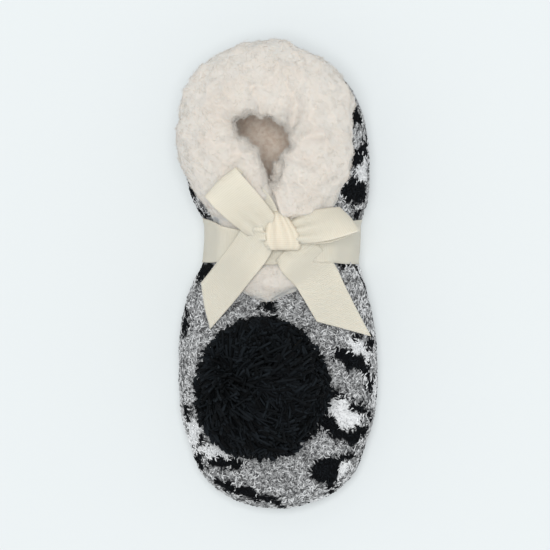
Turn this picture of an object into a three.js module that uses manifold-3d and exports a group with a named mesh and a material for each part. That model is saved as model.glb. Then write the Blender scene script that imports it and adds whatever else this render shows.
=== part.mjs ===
// A knitted slipper sock with a fleece cuff, a yarn pompom on the vamp and a ribbon tied round
// its waist in a bow. It fits either foot. All sizes are in millimetres.
// X is to the side, +Y points to the heel, the toe points to -Y and +Z is up from the floor.
import * as THREE from "three";
import { mergeVertices } from "three/addons/utils/BufferGeometryUtils.js";
import Module from "manifold-3d";

const wasm = await Module();
wasm.setup();

// Knitted upper
const upperLength = 244;
const ballWidth = 104;
const collarHeight = 75;
const upperWall = 4;
const tuck = 7; // how far the knit rolls in from its widest line to the sole
const toeReach = 40; // from the toe tip back to where the top line starts
const heelReach = 38; // from the heel back forward to where the top line ends
const crownPower = 2.35; // fullness of the upper above its widest line
const tuckPower = 2.6; // fullness below it
const waistLean = 2.9; // how far the waist stands to the side of the toe and heel
const waistAlong = 0.59; // where it does so most, as a share of the length
const waistRun = 23; // how far from there it takes to straighten
const seat = 0.3; // gap between pieces that touch

// Sole and footbed
const soleThickness = 4.5;
const soleShow = 2; // how far the sole's edge stands out past the knit's lower edge
const soleBevel = 1.2;
const toeSpring = 5;
const archRise = 4;
const heelSpring = 1.5;
const insoleThickness = 4;

// Fleece cuff, turned out round the foot hole
const holeReach = 17; // from the middle of the foot hole to its edge
const flapReach = 46; // from there out to the edge of the fleece
const cuffPile = 13;
const frontPile = 7; // the same at the front end of the cuff
const pileFullness = 2.6;
const hemShare = 0.965; // farthest that the flap goes out towards the widest line
const cuffLip = 10; // fleece between the foot hole and the edge of the knit
const cuffDrop = 9; // how far the lip goes down inside
const lipJoin = 2; // overlap of the lip with the turned-out part, and the lip's rounding
const holeAlong = 0.778; // share of the upper's length
const holeLean = -3; // the collar leans to this side
const tuftDepth = 1.6;
const tuftPitch = 10;

// Pompom
const pompomWidth = 71;
const pompomLength = 77;
const pompomHeight = 62;
const pompomAlong = 0.258; // share of the upper's length
const pompomLean = -4;
const pompomSink = 8; // how far the knit flattens the ball's underside
const pompomCore = 0.84; // the core's share of the ball
const lockCount = 70;
const lockLength = 10;
const lockRadius = 7;

// Ribbon
const ribbonWidth = 22.8;
const ribbonThickness = 0.9;
const ribbonGap = 0.7; // clearance over the soft fleece and knit
const bandAlong = 0.571;
const pressedPile = 4; // fleece left under the band
const pressedFull = 24; // half the width over which it is that deep
const pressedHalf = 36; // half the width over which there is any
const pressedSlope = 1.1; // how fast the fleece springs up again beside the band
const knotWidth = 21;
const knotLength = 20;
const knotHeight = 10;
const knotLean = 3.1;
const knotTaper = 0.5; // how much of its width it loses towards the heel
const knotBack = 5; // how far it sits behind the middle of the band
const loopLength = 40;
const loopHeight = 10;
const tailLength = 54;
const tailRise = 2.8; // height of the tails' ends over what they lie on

// The upper's stations, from toe tip to heel back. along is a share of the length, half a share of
// half the ball width, and top and belly are shares of the collar height.
const stations = [
  { along: 0.0, half: 0.0, top: 0.575, belly: 0.27 },
  { along: 0.02, half: 0.44, top: 0.58, belly: 0.265 },
  { along: 0.07, half: 0.745, top: 0.6, belly: 0.255 },
  { along: 0.139, half: 0.885, top: 0.635, belly: 0.25 },
  { along: 0.207, half: 0.975, top: 0.67, belly: 0.25 },
  { along: 0.29, half: 1.0, top: 0.705, belly: 0.255 },
  { along: 0.38, half: 0.975, top: 0.745, belly: 0.265 },
  { along: 0.463, half: 0.895, top: 0.785, belly: 0.28 },
  { along: 0.515, half: 0.8, top: 0.8, belly: 0.295 },
  { along: 0.565, half: 0.755, top: 0.805, belly: 0.3 },
  { along: 0.615, half: 0.795, top: 0.835, belly: 0.31 },
  { along: 0.667, half: 0.885, top: 0.88, belly: 0.325 },
  { along: 0.735, half: 0.92, top: 0.935, belly: 0.345 },
  { along: 0.8, half: 0.9, top: 0.97, belly: 0.365 },
  { along: 0.86, half: 0.83, top: 0.99, belly: 0.385 },
  { along: 0.922, half: 0.66, top: 1.0, belly: 0.4 },
  { along: 0.975, half: 0.37, top: 0.995, belly: 0.41 },
  { along: 1.0, half: 0.0, top: 0.985, belly: 0.415 },
];
const lastStation = stations.length - 1;
const stationSteps = 2;
const sideCount = lastStation * stationSteps;

// A column of the station table at a place between two rows, as a smooth curve through the rows.
// Past the tips the outline is its own mirror image, so half changes sign there.
function stationValue(column, place) {
  const value = (i) => {
    const mirrored = i < 0 ? -i : i > lastStation ? 2 * lastStation - i : i;
    const sign = column === "half" && mirrored !== i ? -1 : 1;
    return sign * stations[mirrored][column];
  };
  const row = Math.min(Math.floor(place), lastStation - 1);
  const t = place - row;
  const [a, b, c, d] = [value(row - 1), value(row), value(row + 1), value(row + 2)];
  const slope = (c - a) / 2;
  const nextSlope = (d - b) / 2;
  const bend = 3 * (c - b) - 2 * slope - nextSlope;
  const curl = 2 * (b - c) + slope + nextSlope;
  return b + t * (slope + t * (bend + t * curl));
}

const lengthwise = (along) => (along - 0.5) * upperLength;

// The first place in the station table where a test that stays true from there on holds.
function placeWhere(reached) {
  let low = 0;
  let high = lastStation;
  for (let i = 0; i < 40; i++) {
    const middle = (low + high) / 2;
    if (reached(middle)) high = middle;
    else low = middle;
  }
  return (low + high) / 2;
}

// How far the sole's underside is off the floor: toe spring, arch and heel spring.
function soleLift(y) {
  const along = y / upperLength + 0.5;
  const toe = Math.max(0, (0.15 - along) / 0.15);
  const arch = Math.min(1, Math.max(0, (along - 0.37) / 0.39));
  const heel = Math.max(0, (along - 0.93) / 0.07);
  return toeSpring * toe ** 2 + archRise * Math.sin(Math.PI * arch) ** 2 + heelSpring * heel ** 2;
}

// The outline in plan on the right side, moved outward by grow along its normal.
function outlinePoint(place, grow) {
  const step = 0.01;
  const x = (p) => (stationValue("half", p) * ballWidth) / 2;
  const y = (p) => lengthwise(stationValue("along", p));
  const before = Math.max(0, place - step);
  const after = Math.min(lastStation, place + step);
  const dx = place === 0 || place === lastStation ? Math.sign(1 - place) : x(after) - x(before);
  const dy = place === 0 || place === lastStation ? 0 : y(after) - y(before);
  const size = Math.hypot(dx, dy);
  return { x: x(place) + (grow * dy) / size, y: y(place) - (grow * dx) / size };
}

// Where the profile of a place meets the top line of the upper.
function spineY(place) {
  const share = stationValue("along", place);
  return lengthwise(0) + toeReach + share * (upperLength - toeReach - heelReach);
}

const powered = (value, power) => Math.max(0, value) ** (2 / power);
const radians = (degrees) => (degrees * Math.PI) / 180;
const smooth = (share) => share * share * (3 - 2 * share);
const clamped = (value) => Math.min(1, Math.max(0, value));

// A point of the upper's form. rise is 90 at the top line, 0 at the widest line and -90 at the
// edge of the sole. The profile is a quarter of a superellipse above the widest line and another
// below it. side is 1 or -1, and grow moves the form outward.
function formPoint(place, side, rise, grow) {
  const belly = stationValue("belly", place) * collarHeight;
  if (rise >= 0) {
    const edge = outlinePoint(place, grow);
    const out = powered(Math.cos(radians(rise)), crownPower);
    const up = powered(Math.sin(radians(rise)), crownPower);
    const top = stationValue("top", place) * collarHeight + grow;
    const spine = spineY(place);
    const y = spine + (edge.y - spine) * out;
    return new THREE.Vector3(side * edge.x * out, y, belly + (top - belly) * up);
  }
  const inward = tuck * (1 - powered(Math.cos(radians(rise)), tuckPower));
  const edge = outlinePoint(place, grow - inward);
  const foot = soleLift(edge.y) + soleThickness + seat;
  const down = powered(Math.sin(radians(-rise)), tuckPower);
  return new THREE.Vector3(side * edge.x, edge.y, belly - (belly - foot) * down);
}

// Where a point in plan lies on the form: the place of the profile that passes over it, found by
// halving, and its share of the way out from the top line to the outline.
function formShare(x, y) {
  const side = Math.abs(x);
  const place = placeWhere((p) => {
    const edge = outlinePoint(p, 0);
    const spine = spineY(p);
    return edge.x * (y - spine) - (edge.y - spine) * side < 0;
  });
  const edge = outlinePoint(place, 0);
  const spine = spineY(place);
  return { place, out: Math.hypot(side, y - spine) / Math.hypot(edge.x, edge.y - spine) };
}

// The height of the upper's form over a point in plan, as if it had no collar opening.
function formTop(x, y) {
  const { place, out } = formShare(x, y);
  const belly = stationValue("belly", place) * collarHeight;
  const top = stationValue("top", place) * collarHeight;
  return belly + (top - belly) * powered(1 - out ** crownPower, 2 * crownPower);
}

// A closed solid from points and triangles. Points that coincide are merged.
function solidOf(points, triangles) {
  const geometry = new THREE.BufferGeometry().setFromPoints(points);
  geometry.setIndex(triangles);
  const merged = mergeVertices(geometry, 1e-4);
  const kept = [];
  const index = merged.index.array;
  for (let i = 0; i < index.length; i += 3) {
    const [a, b, c] = [index[i], index[i + 1], index[i + 2]];
    if (a !== b && b !== c && c !== a) kept.push(a, b, c);
  }
  const vertProperties = merged.attributes.position.array;
  return new wasm.Manifold(
    new wasm.Mesh({ numProp: 3, vertProperties, triVerts: new Uint32Array(kept) }),
  );
}

// A solid from a three.js geometry.
function solidFrom(geometry) {
  const bare = geometry.index ? geometry.toNonIndexed() : geometry;
  const points = [];
  const position = bare.attributes.position;
  for (let i = 0; i < position.count; i++) {
    points.push(new THREE.Vector3().fromBufferAttribute(position, i));
  }
  return solidOf(points, [...points.keys()]);
}

// Both sides of a level of the form, up the right side from toe to heel and back down the left.
function ring(pointAt) {
  const points = [];
  for (let i = 0; i <= sideCount; i++) points.push(pointAt(i / stationSteps, 1));
  for (let i = sideCount - 1; i > 0; i--) points.push(pointAt(i / stationSteps, -1));
  return points;
}

// Closes a stack of rings, from the lowest to the highest, with rungs from side to side across
// the first ring and the last.
function stackOfRings(rings) {
  const count = 2 * sideCount;
  const triangles = [];
  const quad = (a, b, c, d) => triangles.push(a, b, c, a, c, d);
  for (let level = 0; level + 1 < rings.length; level++) {
    for (let i = 0; i < count; i++) {
      const next = (i + 1) % count;
      const here = level * count;
      const above = here + count;
      quad(here + i, here + next, above + next, above + i);
    }
  }
  const roof = (rings.length - 1) * count;
  for (let i = 0; i < sideCount; i++) {
    const left = (count - i) % count;
    const nextLeft = count - i - 1;
    quad(i, left, nextLeft, i + 1);
    quad(roof + i, roof + i + 1, roof + nextLeft, roof + left);
  }
  return solidOf(rings.flat(), triangles);
}

// A closed tube from the same number of points in each section. The sections run round a loop, or
// from end to end with each end closed by a fan. The second half of a section is the other face of
// a strip, so it's split along the same diagonals as the first.
function loft(sections, closed) {
  const size = sections[0].length;
  const triangles = [];
  const spans = closed ? sections.length : sections.length - 1;
  for (let s = 0; s < spans; s++) {
    const here = s * size;
    const next = ((s + 1) % sections.length) * size;
    for (let k = 0; k < size; k++) {
      const k1 = (k + 1) % size;
      const [a, b, c, d] = [here + k, here + k1, next + k1, next + k];
      if (k < size / 2) triangles.push(a, b, c, a, c, d);
      else triangles.push(a, b, d, b, c, d);
    }
  }
  if (!closed) {
    const last = (sections.length - 1) * size;
    for (let k = 1; k + 1 < size; k++) {
      triangles.push(0, k + 1, k, last, last + k, last + k + 1);
    }
  }
  const made = solidOf(sections.flat(), triangles);
  if (made.volume() > 0) return made;
  for (let i = 0; i < triangles.length; i += 3) {
    [triangles[i + 1], triangles[i + 2]] = [triangles[i + 2], triangles[i + 1]];
  }
  return solidOf(sections.flat(), triangles);
}

const crownRises = [0, 15, 30, 44, 57, 68, 79, 90];
const tuckRises = [-90, -62, -38, -18];

// The whole form of the upper as a solid, moved outward by grow. extra is how far its underside
// goes below the edge of the sole.
function formSolid(grow, extra) {
  const rings = [];
  if (extra > 0) {
    rings.push(
      ring((place, side) => {
        const edge = formPoint(place, side, -90, grow);
        return new THREE.Vector3(edge.x, edge.y, edge.z - extra);
      }),
    );
  }
  for (const rise of [...tuckRises, ...crownRises]) {
    rings.push(ring((place, side) => formPoint(place, side, rise, grow)));
  }
  return stackOfRings(rings);
}

// The cuff in plan, from the back of the foot hole round to its front. bearing is in degrees from
// the heel direction, hole is a share of the hole's reach and flap a share of the flap's.
const cuffRows = [
  { bearing: 0, hole: 1.0, flap: 1.12 },
  { bearing: 30, hole: 1.05, flap: 1.08 },
  { bearing: 60, hole: 1.05, flap: 1.06 },
  { bearing: 90, hole: 0.97, flap: 0.93 },
  { bearing: 115, hole: 0.74, flap: 0.94 },
  { bearing: 135, hole: 0.65, flap: 1.0 },
  { bearing: 155, hole: 0.7, flap: 1.26 },
  { bearing: 170, hole: 1.0, flap: 1.7 },
  { bearing: 180, hole: 1.4, flap: 1.78 },
];
const holeY = lengthwise(holeAlong);

// A column of the cuff table at any bearing in radians, eased from row to row.
function cuffShareAt(column, bearing) {
  const turn = THREE.MathUtils.radToDeg(Math.acos(Math.cos(bearing)));
  const next = Math.max(1, cuffRows.findIndex((row) => row.bearing >= turn - 1e-6));
  const [from, to] = [cuffRows[next - 1], cuffRows[next]];
  const share = (turn - from.bearing) / (to.bearing - from.bearing);
  return from[column] + (to[column] - from[column]) * smooth(share);
}

const holeAt = (bearing) => holeReach * cuffShareAt("hole", bearing);

function planPoint(bearing, reach) {
  return { x: holeLean + reach * Math.sin(bearing), y: holeY + reach * Math.cos(bearing) };
}

// The flap's edge, held inside the outline where it would hang past it.
function flapAt(bearing) {
  let low = 0;
  let high = flapReach * cuffShareAt("flap", bearing);
  for (let i = 0; i < 16; i++) {
    const middle = (low + high) / 2;
    const { x, y } = planPoint(bearing, middle);
    if (formShare(x, y).out > hemShare) high = middle;
    else low = middle;
  }
  return low;
}

const bandY = lengthwise(bandAlong);

// The pile left under the ribbon: full in the middle, none out on the knit.
function pileUnderBand(x) {
  return pressedPile * smooth(clamped((pressedHalf - Math.abs(x)) / (pressedHalf - pressedFull)));
}

// The cuff's thickness at a share of the way from the hole (0) to its outer edge (1).
function cuffThickness(share, x, y) {
  const round = Math.sqrt(1 - Math.abs(2 * share - 1) ** pileFullness);
  const back = smooth(clamped((y - bandY) / (holeY - bandY)));
  const pile = frontPile + (cuffPile - frontPile) * back;
  const offBand = Math.max(0, Math.abs(y - bandY) - ribbonWidth / 2 - seat);
  return Math.min(pile * round, pileUnderBand(x) - seat + pressedSlope * offBand);
}

// Curls of the fleece: rounded tufts in staggered rows.
function tufts(x, y, share) {
  const row = Math.sin((Math.PI * (x + 0.5 * y)) / tuftPitch + 1.3 * Math.sin(y / tuftPitch));
  const column = Math.sin((Math.PI * (y - 0.4 * x)) / tuftPitch + 1.1 * Math.sin(x / tuftPitch));
  return tuftDepth * row * column * Math.sin(Math.PI * share);
}

const cuffBearings = 50;
const cuffShares = [0, 0.06, 0.16, 0.3, 0.44, 0.58, 0.72, 0.84, 0.94, 1];

// The outward normal of the upper's form over a point in plan.
function formNormal(x, y) {
  const step = 0.5;
  const slopeX = (formTop(x + step, y) - formTop(x - step, y)) / (2 * step);
  const slopeY = (formTop(x, y + step) - formTop(x, y - step)) / (2 * step);
  return new THREE.Vector3(-slopeX, -slopeY, 1).normalize();
}

function collarEdge() {
  const points = [];
  for (let i = 0; i < cuffBearings; i++) {
    const bearing = (-2 * Math.PI * i) / cuffBearings;
    const { x, y } = planPoint(bearing, holeAt(bearing) + cuffLip);
    points.push(new THREE.Vector2(x, y));
  }
  return points;
}

// A prism over a loop in plan, from the middle of the upper to above everything.
function prismOver(loop) {
  const geometry = new THREE.ExtrudeGeometry(new THREE.Shape(loop), {
    depth: 2 * collarHeight,
    bevelEnabled: false,
  });
  geometry.translate(0, 0, collarHeight / 2);
  return solidFrom(geometry);
}

function makeUpper() {
  const walls = formSolid(0, 0).subtract(formSolid(-upperWall, 3));
  return walls.subtract(prismOver(collarEdge()));
}

const tuftStart = bandY + 20; // the fleece is tufted behind the bow

function makeCuff() {
  const flap = [];
  const lip = [];
  for (let i = 0; i < cuffBearings; i++) {
    const bearing = (2 * Math.PI * i) / cuffBearings;
    const [near, far] = [holeAt(bearing), flapAt(bearing)];
    const crown = cuffShares.map((share) => {
      const { x, y } = planPoint(bearing, near + (far - near) * share);
      const pile = cuffThickness(share, x, y) + (y > tuftStart ? tufts(x, y, share) : 0);
      const point = new THREE.Vector3(x, y, formTop(x, y));
      return point.addScaledVector(formNormal(x, y), Math.max(pile, seat));
    });
    const sunk = [far, near].map((reach) => {
      const { x, y } = planPoint(bearing, reach);
      return new THREE.Vector3(x, y, formTop(x, y) - lipJoin);
    });
    flap.push([...crown, ...sunk]);
    const lipEdge = near + cuffLip - 2 * seat;
    const lipSection = [
      [near, lipJoin],
      [near, lipJoin - cuffDrop],
      [near + lipJoin, -cuffDrop],
      [lipEdge - lipJoin, -cuffDrop],
      [lipEdge, lipJoin - cuffDrop],
      [lipEdge, lipJoin],
    ];
    lip.push(
      lipSection.map(([reach, height]) => {
        const { x, y } = planPoint(bearing, reach);
        return new THREE.Vector3(x, y, formTop(x, y) + height);
      }),
    );
  }
  return loft(flap, true).subtract(formSolid(seat, 0)).add(loft(lip, true));
}

function makeOutsole() {
  const rim = -(tuck - soleShow);
  const level = (inset, height) =>
    ring((place, side) => {
      const edge = outlinePoint(place, rim - inset);
      return new THREE.Vector3(side * edge.x, edge.y, soleLift(edge.y) + height);
    });
  return stackOfRings([
    level(soleBevel, 0),
    level(0, soleBevel),
    level(0, soleThickness - soleBevel / 2),
    level(soleBevel / 2, soleThickness),
  ]);
}

function makeInsole() {
  const level = (height) =>
    ring((place, side) => {
      const edge = outlinePoint(place, 0);
      const foot = soleLift(edge.y) + soleThickness + seat;
      return new THREE.Vector3(side * edge.x, edge.y, foot + height);
    });
  const above = stackOfRings([level(insoleThickness), level(2 * collarHeight)]);
  return formSolid(-upperWall - seat, 0).subtract(above);
}

// The yarn ball: a core with pointed locks of yarn fused on, cut to sit on the vamp.
function makePompom() {
  const y = lengthwise(pompomAlong);
  const middle = new THREE.Vector3(
    pompomLean,
    y,
    formTop(pompomLean, y) + pompomHeight / 2 - pompomSink,
  );
  const reach = new THREE.Vector3(pompomWidth / 2, pompomLength / 2, pompomHeight / 2);
  const core = new THREE.SphereGeometry(pompomCore, 16, 11).scale(reach.x, reach.y, reach.z);
  let ball = solidFrom(core.translate(middle.x, middle.y, middle.z));
  const golden = Math.PI * (3 - Math.sqrt(5));
  for (let i = 0; i < lockCount; i++) {
    const height = 1 - (2 * (i + 0.5)) / lockCount;
    const round = Math.sqrt(1 - height * height);
    const out = new THREE.Vector3(
      round * Math.cos(golden * i),
      round * Math.sin(golden * i),
      height,
    );
    const tip = out.clone().multiply(reach);
    const lock = new THREE.ConeGeometry(lockRadius, lockLength, 5);
    lock.translate(0, -lockLength / 2, 0);
    const turn = new THREE.Quaternion().setFromUnitVectors(new THREE.Vector3(0, 1, 0), out);
    lock.applyQuaternion(turn);
    lock.translate(middle.x + tip.x, middle.y + tip.y, middle.z + tip.z);
    ball = ball.add(solidFrom(lock));
  }
  return ball.subtract(formSolid(seat, 0));
}

// Ribbon. The height of what lies under the bow at a point in plan: knit, fleece and band.
function coverTop(x, y) {
  const form = formTop(x, y);
  const bearing = Math.atan2(x - holeLean, y - holeY);
  const [near, far] = [holeAt(bearing), flapAt(bearing)];
  const share = clamped((Math.hypot(x - holeLean, y - holeY) - near) / (far - near));
  const fleece = Math.max(0, cuffThickness(share, x, y)) / formNormal(x, y).z;
  const onBand = Math.abs(y - bandY) < ribbonWidth / 2 + 1;
  const band = onBand ? pileUnderBand(x) + ribbonGap + ribbonThickness : 0;
  return form + Math.max(fleece, band);
}

// The band: a flat loop round the waist, over the pressed fleece and under the raised arch.
// inner and outer are where its two faces are, out from the ribbon's own inner face.
const bandRises = [90, 78, 66, 54, 42, 30, 18, 6, -10, -35, -60];

function bandForm(inner, outer, width) {
  const edges = [-0.5, -0.17, 0.17, 0.5].map((share) => {
    const along = bandAlong + (share * width) / upperLength;
    return placeWhere((place) => stationValue("along", place) > along);
  });
  const soleHalf = (place) => outlinePoint(place, soleShow - tuck).x;
  const overKnit = (rise, side) => (place, extra) => {
    const under = formPoint(place, side, Math.max(0, rise), 0).x;
    const pile = rise > 0 ? pileUnderBand(under) : 0;
    return formPoint(place, side, rise, pile + ribbonGap + extra);
  };
  const underSole = (share, side) => (place, extra) => {
    const y = lengthwise(stationValue("along", place));
    const x = side * share * soleHalf(place);
    return new THREE.Vector3(x, y, soleLift(y) - seat - extra);
  };
  const atSoleEdge = (side) => (place, extra) => {
    const y = lengthwise(stationValue("along", place));
    const x = side * (soleHalf(place) + ribbonGap + extra);
    return new THREE.Vector3(x, y, soleLift(y) + soleBevel);
  };
  const right = [
    ...bandRises.map((rise) => overKnit(rise, 1)),
    atSoleEdge(1),
    underSole(0.96, 1),
    underSole(0.5, 1),
  ];
  const left = [
    underSole(0, -1),
    underSole(0.5, -1),
    underSole(0.96, -1),
    atSoleEdge(-1),
    ...bandRises.slice(1).reverse().map((rise) => overKnit(rise, -1)),
  ];
  const sections = [...right, ...left].map((pointAt) => [
    ...edges.map((place) => pointAt(place, inner)),
    ...edges.toReversed().map((place) => pointAt(place, outer)),
  ]);
  return loft(sections, true);
}

function makeBand() {
  return bandForm(0, ribbonThickness, ribbonWidth);
}

// A strip of ribbon through rows of its centre line. Each row has the centre, the direction across
// the ribbon and the share of the full width; the thickness is laid along the strip's own normal.
// slant is how far one corner of the strip's end reaches past its middle. Grown strips are what
// other pieces are cut back by.
function ribbonStrip(rows, slant, grow) {
  const sections = rows.map((row, i) => {
    const before = rows[Math.max(0, i - 1)].centre;
    const after = rows[Math.min(rows.length - 1, i + 1)].centre;
    const along = after.clone().sub(before).normalize();
    const across = row.across.clone().normalize();
    const normal = along.clone().cross(across).normalize();
    const half = (ribbonWidth * row.width) / 2 + grow;
    const end = i === 0 ? -1 : i === rows.length - 1 ? 1 : 0;
    const slide = slant * (i / (rows.length - 1)) ** 2;
    const corner = (side, face) =>
      row.centre
        .clone()
        .addScaledVector(along, end * grow + side * slide)
        .addScaledVector(across, side * half)
        .addScaledVector(normal, face * (ribbonThickness / 2 + grow));
    return [corner(-1, -1), corner(1, -1), corner(1, 1), corner(-1, 1)];
  });
  return loft(sections, false);
}

const knotMiddle = new THREE.Vector3(
  knotLean,
  bandY + knotBack,
  coverTop(knotLean, bandY) + seat + knotHeight / 2,
);

// The knot: a rounded pad, fullest in its middle, drawn in at both ends and tapered to the heel.
function makeKnot(grow) {
  const shares = [-1, -0.9, -0.65, -0.3, 0, 0.3, 0.65, 0.9, 1];
  const corners = 12;
  const sections = shares.map((share) => {
    const size = 0.45 + 0.55 * Math.sqrt(1 - share * share);
    const points = [];
    for (let k = 0; k < corners; k++) {
      const turn = (2 * Math.PI * k) / corners;
      const y = Math.sign(Math.cos(turn)) * powered(Math.abs(Math.cos(turn)), 2.8);
      const z = Math.sign(Math.sin(turn)) * powered(Math.abs(Math.sin(turn)), 2.8);
      const narrow = 1 - knotTaper * THREE.MathUtils.smoothstep(y * size, -0.6, 1);
      points.push(
        new THREE.Vector3(
          knotMiddle.x + share * ((narrow * knotWidth) / 2 + grow),
          knotMiddle.y + y * ((size * knotLength) / 2 + grow),
          knotMiddle.z + z * ((size * knotHeight) / 2 + grow),
        ),
      );
    }
    return points;
  });
  return loft(sections, false);
}

// A loop of the bow, out from the knot and back over itself. out is a share of the loop's length,
// lift a share of its height and width a share of the ribbon's width where it is gathered fully.
const loopRows = [
  { out: 0.0, lift: 0.1, width: 0.4 },
  { out: 0.2, lift: 0.04, width: 0.62 },
  { out: 0.45, lift: 0.0, width: 0.9 },
  { out: 0.72, lift: 0.0, width: 1.0 },
  { out: 0.92, lift: 0.08, width: 1.0 },
  { out: 1.0, lift: 0.38, width: 1.0 },
  { out: 0.95, lift: 0.74, width: 1.0 },
  { out: 0.78, lift: 0.95, width: 1.0 },
  { out: 0.5, lift: 0.82, width: 0.92 },
  { out: 0.22, lift: 0.45, width: 0.66 },
  { out: 0.0, lift: 0.2, width: 0.4 },
];

// Where each loop leaves the knot, in shares of the knot's size, and where it ends, in shares of
// the loop's length, both from the middle of the knot. clear is its height there, in shares of the
// loop's height. near and far are the directions across the ribbon at the two, and gather is how
// much it is drawn in at the knot.
const loops = {
  bow_loop_left: {
    from: { x: -0.44, y: -0.115 },
    to: { x: -0.71, y: 0.635, clear: 0.26 },
    near: new THREE.Vector3(0.94, 0.33, 0),
    far: new THREE.Vector3(0.75, 0.66, 0),
    gather: 0.42,
  },
  bow_loop_right: {
    from: { x: 0.25, y: -0.03 },
    to: { x: 0.9, y: 0.16, clear: 0.6 },
    near: new THREE.Vector3(0.35, -0.85, 0.4),
    far: new THREE.Vector3(0.47, -0.54, 0.7),
    gather: 0.7,
  },
};

function makeLoop({ from, to, near, far, gather }, grow) {
  const start = new THREE.Vector3(from.x * knotWidth, from.y * knotLength, -knotHeight / 4);
  start.add(knotMiddle);
  const end = new THREE.Vector3(to.x, to.y, 0).multiplyScalar(loopLength).add(knotMiddle);
  end.z = Math.max(coverTop(end.x, end.y) + to.clear * loopHeight, start.z);
  const rows = loopRows.map((row) => {
    const centre = start.clone().lerp(end, row.out);
    centre.z += row.lift * loopHeight;
    const width = 1 - gather * (1 - row.width);
    return { centre, width, across: near.clone().lerp(far, row.out) };
  });
  return ribbonStrip(rows, 0, grow);
}

// The tails lie on the slipper. x and y are shares of a tail's length from the middle of the knot,
// rise is a share of the height over what lies under them, and width one of the ribbon's width.
// slant is how far one corner of the cut end reaches past its middle, as a share of the length.
const tails = {
  bow_tail_left: {
    slant: 0.145,
    rows: [
      { x: -0.13, y: -0.065, rise: 2.9, width: 0.6 },
      { x: -0.22, y: -0.1, rise: 2.5, width: 0.88 },
      { x: -0.357, y: -0.28, rise: 1.5, width: 0.96 },
      { x: -0.53, y: -0.5, rise: 1, width: 1 },
      { x: -0.71, y: -0.715, rise: 1, width: 1 },
    ],
  },
  bow_tail_right: {
    slant: 0.19,
    rows: [
      { x: 0.127, y: -0.165, rise: 0.6, width: 0.68 },
      { x: 0.206, y: -0.255, rise: 0.65, width: 0.92 },
      { x: 0.332, y: -0.415, rise: 0.8, width: 1 },
      { x: 0.446, y: -0.6, rise: 0.95, width: 1 },
      { x: 0.628, y: -0.935, rise: 1, width: 1 },
    ],
  },
};
const steepestTail = 0.55; // how far a tail's edge may drop for each step across

function makeTail({ rows, slant }, grow) {
  const centres = rows.map((row) => {
    const x = knotMiddle.x + row.x * tailLength;
    const y = knotMiddle.y + row.y * tailLength;
    return new THREE.Vector3(x, y, coverTop(x, y) + row.rise * tailRise);
  });
  const last = centres.length - 1;
  const laid = centres.map((centre, i) => {
    const ahead = centres[Math.min(last, i + 1)].clone().sub(centres[Math.max(0, i - 1)]);
    const across = new THREE.Vector3(-ahead.y, ahead.x, 0).normalize();
    const reach = (ribbonWidth / 2) * rows[i].width;
    const near = coverTop(centre.x - reach * across.x, centre.y - reach * across.y);
    const far = coverTop(centre.x + reach * across.x, centre.y + reach * across.y);
    across.z = THREE.MathUtils.clamp((far - near) / (2 * reach), -steepestTail, steepestTail);
    return { centre, across, width: rows[i].width };
  });
  return ribbonStrip(laid, slant * tailLength, grow);
}

// Materials
const knitMaterial = new THREE.MeshStandardMaterial({ color: 0x9a9c9b, roughness: 0.95 });
const soleMaterial = new THREE.MeshStandardMaterial({ color: 0x8b8d8e, roughness: 0.9 });
const fleeceMaterial = new THREE.MeshStandardMaterial({ color: 0xe6e0d8, roughness: 1 });
const yarnMaterial = new THREE.MeshStandardMaterial({ color: 0x14181c, roughness: 0.9 });
const ribbonMaterial = new THREE.MeshStandardMaterial({ color: 0xebe5cc, roughness: 0.6 });

const slipper = new THREE.Group();

// How far everything at a point along the slipper is shifted to the side. The shapes above are
// laid out about a straight middle line.
function waistShift(y) {
  const run = (y - lengthwise(waistAlong)) / waistRun;
  return waistLean * Math.exp(-run * run);
}

function addPiece(name, solid, material) {
  const mesh = solid.getMesh();
  const geometry = new THREE.BufferGeometry();
  const position = new THREE.BufferAttribute(mesh.vertProperties, 3);
  for (let i = 0; i < position.count; i++) {
    position.setX(i, position.getX(i) + waistShift(position.getY(i)));
  }
  geometry.setAttribute("position", position);
  geometry.setIndex(new THREE.BufferAttribute(mesh.triVerts, 1));
  geometry.computeVertexNormals();
  const piece = new THREE.Mesh(geometry, material);
  piece.name = name;
  slipper.add(piece);
}

// The bow, from the knot outward. Each piece is cut back to clear those before it, and the fleece
// and yarn are pressed in where the bow lies on them.
const bow = new Map();
let bowSpace = bandForm(-seat, ribbonThickness + seat, ribbonWidth + 2 * seat);
const addToBow = (name, solid, space) => {
  bow.set(name, solid.subtract(bowSpace));
  bowSpace = bowSpace.add(space);
};
addToBow("bow_knot", makeKnot(0), makeKnot(seat));
for (const [name, loop] of Object.entries(loops)) {
  addToBow(name, makeLoop(loop, 0), makeLoop(loop, seat));
}
for (const [name, tail] of Object.entries(tails)) {
  addToBow(name, makeTail(tail, 0), makeTail(tail, seat));
}

addPiece("upper", makeUpper(), knitMaterial);
addPiece("outsole", makeOutsole(), soleMaterial);
addPiece("insole", makeInsole(), fleeceMaterial);
const overBand = bandForm(-seat, cuffPile, ribbonWidth + 2 * seat);
addPiece("cuff", makeCuff().subtract(overBand).subtract(bowSpace), fleeceMaterial);
addPiece("pompom", makePompom().subtract(bowSpace), yarnMaterial);
addPiece("ribbon_band", makeBand(), ribbonMaterial);
for (const [name, solid] of bow) addPiece(name, solid, ribbonMaterial);

export default slipper;
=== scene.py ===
"""A knitted slipper sock with a fleece cuff, a yarn pompom and a ribbon bow round its waist.

The functions below work in millimetres and degrees, and build_mesh puts the result into a mesh in
metres. X is to the side, +Y points to the heel, -Y to the toe and +Z is up from the floor.
"""

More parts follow.
